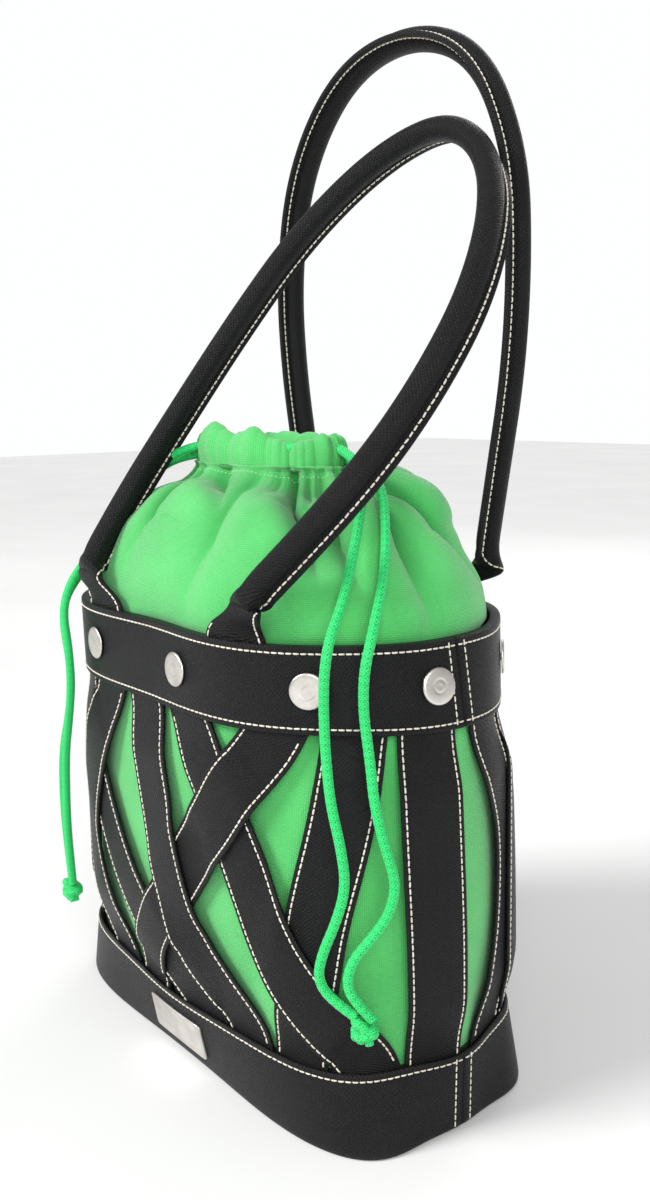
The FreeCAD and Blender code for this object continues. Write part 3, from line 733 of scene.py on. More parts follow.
# ------------------------------------------------------------------- snaps
SNAP_HEIGHT = 211.0
SNAP_STATIONS = (13.0, 70.0, 147.0, 224.0, 293.0)
CAP = ((0.0, 1.40), (1.1, 1.40), (1.5, 1.47), (1.9, 1.40), (2.6, 1.40), (2.85, 1.33),
       (3.1, 1.33), (3.35, 1.42), (4.2, 1.45), (5.6, 1.42), (6.9, 1.36), (7.4, 1.28),
       (7.8, 1.10), (8.08, 0.8), (8.2, 0.45), (8.15, 0.15), (7.6, 0.05), (5.0, 0.0),
       (0.0, 0.0))


def revolve(b, profile, origin, axis, sides=48, lift=0.45):
    """Adds a turned piece: profile is (radius, height) in mm from the origin."""
    axis = unit(np.asarray(axis, float))
    one = unit(np.cross(axis, (0, 0, 1.0)))
    two = np.cross(axis, one)
    angle = 2 * math.pi * np.arange(sides) / sides
    ring = np.cos(angle)[:, None] * one + np.sin(angle)[:, None] * two
    radius = np.maximum(np.array([p[0] for p in profile]), 0.02)
    height = np.array([p[1] for p in profile]) + lift
    points = (np.asarray(origin) + ring[:, None, :] * radius[None, :, None] * MM
              + axis * height[None, :, None] * MM)
    a = np.arange(sides + 1) * 0.02 / sides
    travel = np.r_[0, np.cumsum(np.hypot(np.diff(radius), np.diff(height)))] * MM
    uv = np.stack(np.broadcast_arrays(a[:, None], travel[None]), -1)
    b.grid(points, uv, wrap_u=True, flip=True)


def band_normal(station, height):
    along = cage(station + 3, height) - cage(station - 3, height)
    up = cage(station, height + 3) - cage(station, height - 3)
    return unit(np.cross(up, along))


caps = Builder()
for shift in (0.0, HALF_GIRTH):
    for station in SNAP_STATIONS:
        revolve(caps, CAP, cage(station + shift, SNAP_HEIGHT),
                band_normal(station + shift, SNAP_HEIGHT))
finish_piece(caps.build("snap_cap_faces"), SPUN_MAT, "bag",
             ["snap_caps"])

# --------------------------------------------------------------- nameplate
PLATE_STATION, PLATE_WIDTH, PLATE_TALL, PLATE_MIDDLE = 174.0, 45.0, 20.0, 17.5


def make_plate():
    """Blank curved plate with rounded corners, a rim and a sunken field."""
    steps = ((0.0, 0.15), (0.0, 1.0), (0.12, 1.22), (0.35, 1.35), (1.3, 1.35),
             (1.55, 1.18), (1.8, 1.12))
    around = 96
    corner = 2.2
    angle = 2 * math.pi * (np.arange(around) + 0.5) / around
    rings = []
    for inset, lift in steps:
        half_w, half_h = PLATE_WIDTH / 2 - inset, PLATE_TALL / 2 - inset
        radius = max(corner - inset, 0.4)
        c, s = np.cos(angle), np.sin(angle)
        scale = 1 / np.maximum(np.abs(c) / half_w, np.abs(s) / half_h)
        x, y = c * scale, s * scale
        cx, cy = np.clip(x, radius - half_w, half_w - radius), \
            np.clip(y, radius - half_h, half_h - radius)
        d = np.stack([x - cx, y - cy], 1)
        far = np.linalg.norm(d, axis=1, keepdims=True)
        d = np.where(far > radius, d / np.maximum(far, 1e-9) * radius, d)
        rings.append((cx + d[:, 0], cy + d[:, 1], np.full(around, lift)))
    x, y, lift = rings[-1]
    for share in (0.66, 0.33, 0.02):
        rings.append((x * share, y * share, lift))
    xs, ys, ls = np.array(rings).swapaxes(0, 1)
    points = cage(PLATE_STATION + xs, PLATE_MIDDLE + ys, ls)
    uv = np.stack([np.c_[xs, xs[:, :1]], np.c_[ys, ys[:, :1]]], -1) * MM
    b = Builder()
    b.grid(points, uv, wrap_v=True, flip=True)
    return b.build("blank_plate")


finish_piece(make_plate(), PLATE_MAT, "bag", ["nameplate"])

# ------------------------------------------------------------------- cords
CORD = 4.5
ROUTES = {
    "drawcord_right_inner": (
        (48.8, -1, 309.3), (66, -4, 305), (83, -14, 295), (94, -27, 279),
        (101, -38, 262), (107, -48, 247), (111, -58, 236), (112, -62, 222),
        (109, -60, 204), (110, -60, 186), (114, -61, 166), (118, -59, 148),
        (119, -57, 130), (116, -60, 114), (112, -65, 99), (110, -66, 87),
        (115, -62, 78), (124, -56, 72)),
    "drawcord_right_outer": (
        (48.8, 3, 304), (68, 3, 301), (85, -5, 291), (98, -15, 275),
        (108, -25, 259), (115, -35, 246), (121, -44, 235), (122, -49, 222),
        (119, -47, 204), (122, -46, 184), (126, -47, 164), (130, -44, 145),
        (132, -40, 130), (130, -43, 116), (126, -50, 106), (122, -57, 97),
        (122, -60, 87), (126, -57, 79), (130, -52, 72)),
    "drawcord_left_inner": (
        (-39, -19.3, 309.3), (-46, -28, 307), (-56, -33, 300), (-66, -39, 289),
        (-74, -47, 277), (-79, -57, 263), (-82, -66, 250), (-84, -76, 238),
        (-83, -82, 223), (-78, -82, 204), (-79, -81, 184), (-84, -81, 163),
        (-92, -80, 143), (-96, -79, 122), (-97, -79, 101), (-98, -78, 81),
        (-100, -76, 62)),
    "drawcord_left_outer": (
        (-46.9, -15.9, 304), (-57, -23, 302.5), (-68, -31.5, 294.5),
        (-77, -39.5, 282), (-84, -48, 266), (-89, -57, 252), (-91, -67, 240),
        (-92, -76, 228), (-89, -79, 214), (-86, -78, 198), (-87, -77, 181),
        (-92, -77, 163), (-99, -78, 143), (-104, -77, 122), (-106, -76, 101),
        (-106, -75, 81), (-105, -74, 62)),
}
KNOTS = {"knot_right": (127, -54, 67), "knot_left": (-103, -75, 57)}


def braided_tube(b, path, radius, pitch=5.2, yarns=8):
    """Mesh of a braided cord: the crossing yarns stand out of the surface."""
    points, along = resample(path, 0.00055)
    points = smoothed(points, 6)
    _, one, two = carried_frames(points, (0, 0, 1.0) if abs(
        tangents(points)[0][2]) < 0.8 else (1.0, 0, 0))
    sides = 24
    angle = 2 * math.pi * np.arange(sides) / sides
    wind = along[:, None] / (pitch * MM) * 2 * math.pi
    half = yarns // 2
    right = 0.5 + 0.5 * np.cos(half * (angle[None] - wind))
    left = 0.5 + 0.5 * np.cos(half * (angle[None] + wind))
    rise = np.maximum(right, left) ** 0.8
    r = radius * (0.87 + 0.15 * rise)
    ring = (np.cos(angle)[None, :, None] * one[:, None]
            + np.sin(angle)[None, :, None] * two[:, None])
    mesh = points[:, None] + ring * r[..., None]
    a = np.arange(sides + 1) / sides * 2 * math.pi * radius
    uv = uv_grid(a, along)
    # The flag marks the grooves between the yarns, where the cord's material paints
    # shade.
    b.grid(mesh, uv, wrap_v=True, caps=True, flip=True, flag=1 - rise)


def knot_path(centre, loops=2.6, radius=3.4, tall=8.6, turn=0.0):
    """Rope wound round itself, as an overhand knot pulled tight."""
    u = np.linspace(0, 1, 90)
    a = u * loops * 2 * math.pi + turn
    r = radius + 0.7 * np.sin(2 * a + 0.8)
    x = r * np.cos(a) + 0.5 * np.sin(3 * a)
    y = r * np.sin(a)
    z = tall * (0.5 - u) + 1.3 * np.sin(a * 1.5 + 1.0)
    return (np.stack([x, y, z], 1) + np.asarray(centre, float)) * MM


cord_pieces = {}
for name, route in ROUTES.items():
    path = curve_points("route_" + name, route)
    b = Builder()
    braided_tube(b, path, CORD / 2 * MM)
    piece = b.build("braided_" + name)
    finish_piece(piece, CORD_MAT, "bag", [name])
    cord_pieces[name] = (piece, path)

for name, centre in KNOTS.items():
    b = Builder()
    braided_tube(b, knot_path(centre, turn=0.4 if name == "knot_right" else 2.2),
                 2.1 * MM)
    braided_tube(b, knot_path(centre, 1.4, 2.0, 5.5, 1.5), 2.1 * MM)
    for dx, dy in ((2.4, 0.6), (-2.0, -1.0)):
        tail = np.array([(dx * 0.5, dy * 0.5, -1.0), (dx * 0.8, dy * 0.8, -4.5),
                         (dx, dy, -6.3)]) + np.asarray(centre, float)
        braided_tube(b, resample(tail * MM, 0.001)[0], 1.9 * MM)
    piece = b.build("tied_" + name)
    finish_piece(piece, CORD_MAT, "bag", [name])

# ------------------------------------------------------------------- liner
DOME_TOP = 301.0
MOUTH = (-4.0, -2.0)
MOUTH_LONG, MOUTH_SHORT = 50.0, 20.0


def liner_offset(z):
    return np.interp(z, (0, BASE_TOP, 62, 165, BAND_BOTTOM, 204, RIM),
                     (-5.8, -5.8, -2.6, -2.6, -5.6, LINER_AT_SNAPS, LINER_AT_SNAPS))


def soft_noise(u, v, seeds, scale):
    """Smooth wrinkles from a few slanted waves; u is an angle round the bag."""
    return sum(weight * np.sin(m * u + n * v * scale + phase)
               for m, n, phase, weight in seeds)


def make_liner_body():
    count = 360
    zs = np.r_[7.6, 12, 20, 30, np.linspace(36, 196, 66), 200, 204, 208, 213, 218,
               222, 224]
    s = np.arange(count) * GIRTH / count
    u = s / GIRTH * 2 * math.pi
    ripple = soft_noise(u[None, :], zs[:, None], (
        (7, 0.9, 0.3, 0.35), (11, -1.3, 1.9, 0.3), (17, 0.6, 4.0, 0.22),
        (23, -0.4, 2.2, 0.16), (4, 2.6, 0.9, 0.25)), 0.03)
    open_part = smooth((zs - 40) / 22) * smooth((200 - zs) / 30)
    off = liner_offset(zs)[:, None] + (ripple * 0.9 - 0.75) * open_part[:, None]
    points = cage(s[None, :], zs[:, None], off)
    a = np.arange(count + 1) * GIRTH / count * MM
    v = np.r_[0, np.cumsum(np.diff(zs))] * MM
    uv = uv_grid(a, v)
    inner = cage(s[None, :], zs[:, None], off - 1.15)
    both = np.concatenate([points, inner[::-1]])
    uv = np.concatenate([uv, uv[::-1], uv[:1]])
    b = Builder()
    b.grid(both, uv, wrap_u=True, wrap_v=True, flip=True)
    return b.build("canvas_liner_body")


body_piece = make_liner_body()
finish_piece(body_piece, CANVAS_MAT, "bag", ["liner_body"])


def dome(u_station, part):
    """Smooth gathered top without its pleats, in mm."""
    start = 232.0
    part = np.asarray(part, float)
    rise = np.sin(np.clip(part, 0, 1) * math.pi / 2) ** 0.8
    rim = cage(u_station, RIM, LINER_AT_SNAPS) / MM
    angle = np.arctan2(rim[..., 1], rim[..., 0])
    mouth_x = MOUTH[0] + (MOUTH_LONG + 5) * np.cos(angle)
    mouth_y = MOUTH[1] + (MOUTH_SHORT + 5) * np.sin(angle)
    x = rim[..., 0] * (1 - part) + mouth_x * part
    y = rim[..., 1] * (1 - part) + mouth_y * part
    z = start + (DOME_TOP - start) * rise
    return np.stack(np.broadcast_arrays(x, y, z), -1)


def pleat_wave(phase, sharp):
    """1 on the rounded crest of a pleat, 0 in its sharp valley."""
    return np.abs(np.sin(phase / 2)) ** sharp


def warp(u, seeds):
    """Turns even pleats into uneven ones."""
    return u + sum(w * np.sin(m * u + p) for m, p, w in seeds)


# Creases of the gathered top: depth, width, roll to one side, then how far up
# the cloth and where round the bag, from its foot to the mouth.
CREASES = (
    (18.8, 15, 4.0, (0.04, 60), (0.26, 68), (0.43, 79), (0.58, 93), (0.80, 99), (1, 101)),
    (11.2, 15, -3.0, (-0.1, 40), (0.15, 43), (0.33, 50), (0.72, 49), (1, 46)),
    (13.8, 16, 4.0, (-0.1, 9), (0.09, 8), (0.31, 6), (0.64, -5), (1, -13)),
    (12.5, 17, -4.0, (-0.1, -72), (0.20, -54), (0.33, -39), (0.67, -33), (1, -38)),
    (10.0, 14, 3.0, (0.00, -98), (0.30, -84), (0.60, -74), (1, -66)),
    (8.1, 18, 2.5, (-0.1, 150), (0.20, 149), (0.46, 147), (0.70, 144), (1, 139)),
    (12.5, 12, -3.0, (0.34, 152), (0.50, 158), (0.66, 170), (0.80, 178), (1, 182)),
    (10.0, 15, 3.5, (0.05, 214), (0.37, 214), (0.60, 212), (1, 216)),
    (12.5, 16, -3.5, (0.00, 262), (0.23, 258), (0.40, 252), (0.70, 248), (1, 246)),
    (15.0, 17, 3.5, (-0.05, 309), (0.30, 301), (0.60, 288), (1, 281)),
    (11.2, 14, -3.0, (0.05, 336), (0.35, 330), (0.70, 323), (1, 318)),
    (15.0, 16, 3.0, (-0.1, 382), (0.30, 374), (0.60, 368), (1, 362)),
    (10.0, 14, -3.5, (0.10, 408), (0.40, 411), (0.70, 406), (1, 402)),
    (16.2, 17, 3.5, (-0.1, 452), (0.30, 449), (0.60, 441), (1, 436)),
    (9.4, 13, -2.5, (0.25, 470), (0.60, 474), (1, 472)),
    (13.8, 16, -3.5, (-0.05, 515), (0.35, 508), (0.70, 512), (1, 514)),
    (11.2, 14, 3.0, (0.05, 548), (0.40, 552), (0.70, 549), (1, 546)),
    (15.0, 16, 3.5, (-0.1, 596), (0.30, 590), (0.60, 583), (1, 580)),
    (8.8, 12, -2.5, (0.36, 76), (0.62, 70), (1, 72)),
    (7.5, 11, 2.0, (0.45, 118), (0.70, 122), (1, 121)),
    (7.5, 11, -2.0, (0.50, 22), (0.75, 18), (1, 16)),
)


def creases(s, part):
    """How deep the cloth lies, and how far it is drawn along the rim."""
    deep = np.zeros(np.broadcast(s, part).shape)
    drawn = np.zeros_like(deep)
    for depth, width, roll, *line in CREASES:
        where = np.interp(part, [p for p, _ in line], [q for _, q in line])
        gap = (s - where + HALF_GIRTH) % GIRTH - HALF_GIRTH
        wide = width * (0.50 + 0.70 * part)
        grip = (smooth((part - line[0][0]) / 0.45)
                * (1 - 0.65 * smooth((part - 0.70) / 0.30)))
        near = np.sqrt(gap ** 2 + 1.6) / wide
        deep += 1.3 * depth * grip * np.exp(-near)
        side = np.clip(gap * math.copysign(1, roll) / wide, 0, None)
        drawn -= roll * grip * side * np.exp(1 - side)
    return deep, drawn


TOP_SEEDS = ((3, 5.0, 0.4, 0.5), (5, -7.0, 1.1, 0.35), (8, 9.0, 2.3, 0.25),
             (13, -12.0, 0.2, 0.18), (2, 11.0, 4.0, 0.35), (17, 16.0, 1.7, 0.12))
# Where each handle's feet are sewn in, and which end of it: 1 towards +X.
FEET = {"front": ((106.7, 1), (219.0, -1)), "rear": ((454.7, -1), (567.0, 1))}
FOOT_STATIONS = [station for feet in FEET.values() for station, _ in feet]
CORD_LINES = np.concatenate([resample(path, 0.002)[0] for _, path in
                             cord_pieces.values()])


def clear_of_cords(points, out, room):
    """Presses the cloth in where a cord lies against it."""
    flat = points.reshape(-1, 3)
    near = np.full(len(flat), 1.0)
    for low in range(0, len(CORD_LINES), 40):
        d = np.linalg.norm(flat[:, None] - CORD_LINES[None, low:low + 40], axis=2)
        near = np.minimum(near, d.min(1))
    press = np.clip(room - near, 0, None).reshape(points.shape[:-1] + (1,))
    return points - out * press


def fine_gathers(s):
    """From 0 in the small gathers' valleys to 1 on their crests."""
    u = s / GIRTH * 2 * math.pi
    fine = pleat_wave(21 * warp(u, ((3, 0.2, 0.12), (5, 1.0, 0.07))), 0.8)
    finer = pleat_wave(43 * warp(u, ((4, 1.2, 0.06), (7, 0.4, 0.05))), 0.9)
    return 0.72 * fine + 0.28 * finer


def mouth_wave(s):
    """How far the cloth stands out at the mouth, in mm."""
    deep = creases(s, np.ones(np.shape(s)))[0]
    return 2.2 - 2.2 * (1 - np.exp(-deep / 2.2)) - 2.0 * (1 - fine_gathers(s))


def top_shape(s, part):
    """The gathered top before it settles: points in mm, and how firmly each is held, most
    where the creases are deep.
    """
    u = s / GIRTH * 2 * math.pi
    deep, drawn = creases(s, part)
    base = dome(s, part)
    d_u = np.roll(base, -1, 1) - np.roll(base, 1, 1)
    d_v = np.gradient(base, axis=0)
    out = unit(np.cross(d_v, d_u))
    # Near the mouth the cloth stands out level instead of square to itself.
    level = unit(out * np.array([1.0, 1.0, 0.0]))
    turn = smooth((part - 0.72) / 0.28)[..., None]
    away = unit(out * (1 - turn) + level * turn)
    feet = sum(np.exp(-((s - f) / 24.0) ** 2) for f in FOOT_STATIONS)
    bulge = (7.5 * np.sin(math.pi * np.clip(part, 0, 1) ** 0.8) ** 0.9
             + 4.0 * (1 - smooth((part - 0.04) / 0.25)))
    bulge = bulge * (1 - 0.75 * feet * (1 - smooth((part - 0.12) / 0.2)))
    # The cloth stands fullest at the right, behind the front handle.
    round_it = (s + 78 + HALF_GIRTH) % GIRTH - HALF_GIRTH
    bulge = bulge + (11.0 * np.exp(-(round_it / 52) ** 2) * smooth((part - 0.1) / 0.4)
                     * (1 - smooth((part - 0.78) / 0.2)))
    sway = soft_noise(u, part, TOP_SEEDS, 1.0) * 0.8 * smooth(part / 0.2) \
        * (1 - smooth((part - 0.7) / 0.3))
    # Soft folds that lie across the cloth low down.
    cross = sum(a * np.exp(-((part - at - 0.0012 * (s - where)) / 0.035) ** 2)
                * np.exp(-((s - where) / wide) ** 2)
                for a, at, where, wide in (
                    (2.4, 0.34, 188, 24), (1.8, 0.14, 176, 20), (1.5, 0.22, 318, 28),
                    (1.6, 0.24, 480, 30), (1.2, 0.12, 24, 18), (1.5, 0.30, 630, 26)))
    rise = bulge - deep + sway - cross
    last = smooth((part - 0.84) / 0.16)
    rise = rise * (1 - last) + mouth_wave(s) * last
    points = base + away * rise[..., None] + unit(d_u) * (drawn * (1 - last))[..., None]
    return points, 0.9 * smooth((deep - 3.0) / 8.0)


# Frames that the cloth settles for, the furthest that it may move in metres,
# and the share of gravity, turned upwards, that stands in for what fills it.
SETTLE_FRAMES, SETTLE_REACH, LIFT_SHARE = 22, 0.014, 0.16


def settle(points, held, cut):
    """Lets the cloth settle: points are where it starts, held is how firmly, and
    cut is its flat size rolled into a tube. Its rim and its mouth stay."""
    rows, count = points.shape[:2]
    b = Builder()
    b.grid(points, np.zeros((rows, count + 1, 2)), wrap_v=True)
    obj = b.build("settling")
    obj.shape_key_add(name="start")
    key = obj.shape_key_add(name="cut")
    key.data.foreach_set("co", cut.reshape(-1))
    group = obj.vertex_groups.new(name="held")
    held = held.copy()
    held[1] = 0.5
    held[[0, -1]] = 1.0
    for k, weight in enumerate(np.round(held.ravel(), 2)):
        if weight > 0.02:
            group.add([k], float(weight), "REPLACE")
    cloth = obj.modifiers.new("Cloth", "CLOTH")
    cloth.settings.quality = 6
    cloth.settings.mass = 0.1
    cloth.settings.tension_stiffness = 12
    cloth.settings.compression_stiffness = 3
    cloth.settings.shear_stiffness = 4
    cloth.settings.bending_stiffness = 0.8
    cloth.settings.air_damping = 3
    cloth.settings.vertex_group_mass = "held"
    cloth.settings.rest_shape_key = key
    cloth.settings.use_pressure = True
    cloth.settings.uniform_pressure_force = 10.0
    cloth.settings.effector_weights.gravity = LIFT_SHARE
    cloth.point_cache.frame_start = 1
    cloth.point_cache.frame_end = SETTLE_FRAMES
    scene = bpy.context.scene
    usual = scene.gravity.copy()
    scene.gravity = (0, 0, 9.81)
    for frame_number in range(1, SETTLE_FRAMES + 1):
        scene.frame_set(frame_number)
    done = obj.evaluated_get(bpy.context.evaluated_depsgraph_get())
    moved = np.empty(rows * count * 3)
    done.data.vertices.foreach_get("co", moved)
    moved = moved.reshape(points.shape)
    scene.frame_set(1)
    scene.gravity = usual
    mesh = obj.data
    bpy.data.objects.remove(obj)
    bpy.data.meshes.remove(mesh)
    step = moved - points
    far = np.linalg.norm(step, axis=-1, keepdims=True)
    return points + step * np.minimum(1, SETTLE_REACH / np.maximum(far, 1e-9))


def cubic(t, a, d, m, n):
    """Between a and d, leaving a with slope m and reaching d with slope n."""
    return ((2 * t ** 3 - 3 * t ** 2 + 1) * a + (t ** 3 - 2 * t ** 2 + t) * m
            + (3 * t ** 2 - 2 * t ** 3) * d + (t ** 3 - t ** 2) * n)


def refined(points, across, up):
    """More points between those of a closed grid, smoothed a little."""
    rows, count = points.shape[:2]
    line = np.concatenate([points, points[:, :1]], 1)
    at = np.arange(count * across) / across
    low = at.astype(int)
    t = (at - low)[None, :, None]
    before = line[:, (low - 1) % count]
    after = line[:, (low + 2) % count]
    a, d = line[:, low], line[:, low + 1]
    m, n = (d - before) / 2, (after - a) / 2
    wide = cubic(t, a, d, m, n)
    at = np.linspace(0, rows - 1, (rows - 1) * up + 1)
    low = np.minimum(at.astype(int), rows - 2)
    t = (at - low)[:, None, None]
    a, d = wide[low], wide[low + 1]
    m = (d - wide[np.maximum(low - 1, 0)]) / 2
    n = (wide[np.minimum(low + 2, rows - 1)] - a) / 2
    return cubic(t, a, d, m, n)


CUT_HEIGHT = 130.0      # of the cloth that settles, taller than its sheet's row


def make_liner_top():
    coarse, fine = 348, 3
    s = (np.arange(coarse) * GIRTH / coarse)[None]
    part = np.linspace(0, 1, 37)[:, None]
    points, held = top_shape(s, part)
    angle = -s / GIRTH * 2 * math.pi
    radius = GIRTH / 2 / math.pi
    cut = np.stack(np.broadcast_arrays(radius * np.cos(angle), radius * np.sin(angle),
                                       RIM + CUT_HEIGHT * part), -1)
    points = settle(points * MM, held, cut * MM) / MM
    points = refined(points, fine, fine)
    count = coarse * fine
    s = (np.arange(count) * GIRTH / count)[None]
    part = np.linspace(0, 1, len(points))[:, None]
    d_u = np.roll(points, -1, 1) - np.roll(points, 1, 1)
    out = unit(np.cross(np.gradient(points, axis=0), d_u))
    neck = 1.2 * np.exp(-((part - 0.90) / 0.025) ** 2)
    gather = 1.8 * smooth((part - 0.5) / 0.3) * (fine_gathers(s) - 1)
    last = smooth((part - 0.84) / 0.16)
    points = points + out * ((gather - neck) * (1 - last))[..., None]
    points = clear_of_cords(points * MM, out, 0.0031) / MM
    low = np.stack([cage(s[0], z, off) / MM for z, off in (
        (224.0, -9.4), (226.0, -8.8), (228.0, -7.6), (229.6, -6.4))])
    points = np.concatenate([low, points]) * MM
    v = np.r_[np.zeros(1), np.cumsum(np.linalg.norm(
        np.diff(points[:, 0], axis=0), axis=1))]
    a = np.arange(count + 1) * GIRTH / count * MM
    uv = uv_grid(a, v)
    # Painted shade for the canvas: strongest in the deep creases and set a little to one
    # side of each, passed on as the point attribute.
    shade = np.maximum(smooth((creases(s - 5, part)[0] - 4) / 13),
                       smooth((creases(s + 1, part)[0] - 6) / 13))
    shade = np.concatenate([np.repeat(shade[:1], 4, 0), shade])
    b = Builder()
    b.grid(points, uv, wrap_v=True, flip=True, flag=shade)
    piece = b.build("canvas_liner_top")
    # The channel is sewn with short pale stitches a little below the mouth.
    row = int(np.argmin(np.abs(part[:, 0] - 0.87)))
    sewn = Stitches()
    ring, normal = points[4 + row], out[row]
    sewn.row(np.r_[ring, ring[:1]], np.r_[normal, normal[:1]], pitch=2.3,
             length=0.9, width=0.26, lift=0.10)
    finish_piece(sewn.build("casing_stitching"), CASING_THREAD, "bag")
    return piece


top_piece = make_liner_top()
finish_piece(top_piece, CANVAS_MAT, "bag", ["liner_top"])


def make_casing():
    """Gathered channel round the mouth; its folds carry on from the top's."""
    count = 1044
    s = np.arange(count) * GIRTH / count
    u = s / GIRTH * 2 * math.pi
    rim = cage(s, RIM, LINER_AT_SNAPS) / MM
    angle = np.arctan2(rim[:, 1], rim[:, 0])
    wave = mouth_wave(s)
    lump = 0.5 + 0.5 * np.sin(11 * warp(u, ((2, 0.5, 0.2), (3, 1.0, 0.15))) + 0.6)

    def puff(at, wide):
        return np.exp(-(((s - at + HALF_GIRTH) % GIRTH - HALF_GIRTH) / wide) ** 2)

    tall = (6.5 * puff(205, 30) + 3.0 * puff(152, 12) + 1.5 * puff(8, 24)
            - 1.6 * puff(100, 18))
    wide = 2.4 * puff(205, 34) + 1.2 * puff(150, 12) + 1.4 * puff(8, 20)
    section = ((-1.5, 4.6), (1.0, 5.0), (3.0, 5.0), (6.0, 4.7), (9.5, 4.2),
               (12.0, 3.2), (13.2, 1.5), (13.3, 0.0), (12.6, -1.8), (11.0, -3.3),
               (8.0, -3.8), (4.0, -3.8), (0.0, -3.4))
    rows = []
    for z, out in section:
        rise = z / 13.0
        body = math.sin(math.pi * min(max(rise, 0), 1))
        if out > 0:
            r = out + wave * min(1, 0.35 + out / 5) + (lump * 0.6 + wide) * body
        else:
            r = out + np.minimum(wave, 0) * 0.3 - (lump * 0.8 + wide * 0.4) * body
        height = (300.0 + z + max(rise, 0)
                  * (tall + lump * 2.4 + np.minimum(wave, 1.0) * 0.9))
        long, short = MOUTH_LONG + r, MOUTH_SHORT + r
        rows.append(np.stack([MOUTH[0] + long * np.cos(angle),
                              MOUTH[1] + short * np.sin(angle), height], 1))
    points = np.stack(rows) * MM
    v = np.r_[0, np.cumsum(np.linalg.norm(np.diff(points[:, 0], axis=0), axis=1))]
    v = np.r_[v, v[-1] + 0.006]
    a = np.arange(count + 1) * 0.30 / count
    uv = uv_grid(a, v)
    b = Builder()
    b.grid(points, uv, wrap_u=True, wrap_v=True, flip=True)
    return b.build("canvas_casing")


casing_piece = make_casing()
finish_piece(casing_piece, CANVAS_MAT, "bag", ["casing"])

# ----------------------------------------------------------------- handles
PIVOT_HEIGHT = 248.0
ARCHES = {
    "front": (-1, -78.0, 33.2, (
        (-60, 0), (-58.5, 40), (-48.5, 94.5), (-37, 149), (-20, 202.5), (16, 245),
        (60.5, 256.5), (107, 221), (130, 160), (125.5, 98.5), (105.5, 46), (77, 0))),
    "rear": (1, 78.0, 2.0, (
        (-68, 0), (-70.5, 45), (-79, 100), (-80, 155), (-65, 211.5), (-26.5, 252.5),
        (24, 263), (70.5, 244.5), (93, 196), (94.5, 145), (90, 95), (80, 48),
        (70, 0))),
}


# How far the sewn lip turns from the other handle, along each arch in degrees.
LIP_TURNS = {
    "front": ((0, -15), (0.25, -12), (0.45, 4), (0.65, 24), (0.85, 38), (1, 42)),
    "rear": ((0, 5), (0.5, 8), (1, 15)),
}


def lip_turn(name, share):
    keys = np.array(LIP_TURNS[name], float)
    return np.radians(np.interp(share, keys[:, 0], keys[:, 1]))


# Section of a handle as (degrees from the middle of the lip, radius): a round
# tube, with the sewn edges of its leather standing out as a flat lip.
HALF_TUBE = ((0, 10.3), (3, 10.45), (6, 10.3), (7.6, 9.8), (8.6, 9.0), (9.8, 8.0),
             (11.6, 7.0), (14.5, 6.1), (18.5, 5.75), (23, 5.8), (28, 5.92),
             *((d, 5.95) for d in (33, *range(41, 132, 9), 149, 167, 176)))
TUBE = np.array([(90 - d, r) for d, r in HALF_TUBE[:0:-1]]
                + [(90 + d, r) for d, r in HALF_TUBE], float)


def tube_shape():
    a = np.radians(TUBE[:, 0])
    return np.stack([TUBE[:, 1] * np.cos(a), TUBE[:, 1] * np.sin(a) - 0.25], 1)


def tab_shape(half, thick, power):
    """A flattened ring with the same points as the tube's."""
    a = np.radians(TUBE[:, 0])
    c, s = np.cos(a), np.sin(a)
    e = 2.0 / power
    return np.stack([half * np.sign(c) * np.abs(c) ** e,
                     thick * np.sign(s) * np.abs(s) ** e], 1)


# Down a foot: distance below the fold line (negative above it), half width,
# half thickness, how square, share of round tube, share of the band's frame.
FOOT_ROWS = (
    (-16.0, 6.0, 5.9, 2.0, 1.0, 0.0), (-7.0, 6.6, 5.9, 2.0, 0.95, 0.0),
    (-4.0, 8.0, 5.8, 2.1, 0.75, 0.0), (-1.8, 9.6, 5.2, 2.3, 0.3, 0.0),
    (0.2, 10.4, 4.0, 2.6, 0.05, 0.0), (2.0, 11.0, 3.0, 2.7, 0.0, 0.07),
    (4.0, 11.9, 2.3, 2.8, 0.0, 0.18), (7.0, 13.2, 1.9, 3.0, 0.0, 0.40),
    (10.5, 14.9, 1.6, 3.2, 0.0, 0.68), (13.8, 16.5, 1.4, 3.4, 0.0, 0.88),
    (17.0, 17.8, 1.2, 3.6, 0.0, 1.0), (21.5, 18.0, 0.75, 3.8, 0.0, 1.0),
    (28.0, 18.0, 0.65, 3.8, 0.0, 1.0))
FOOT_BELOW = np.r_[np.linspace(-16, -5, 14), np.linspace(-4.5, 4, 24),
                   np.linspace(4.8, 17, 14), 19.0, 21.5, 25.0, 28.0]


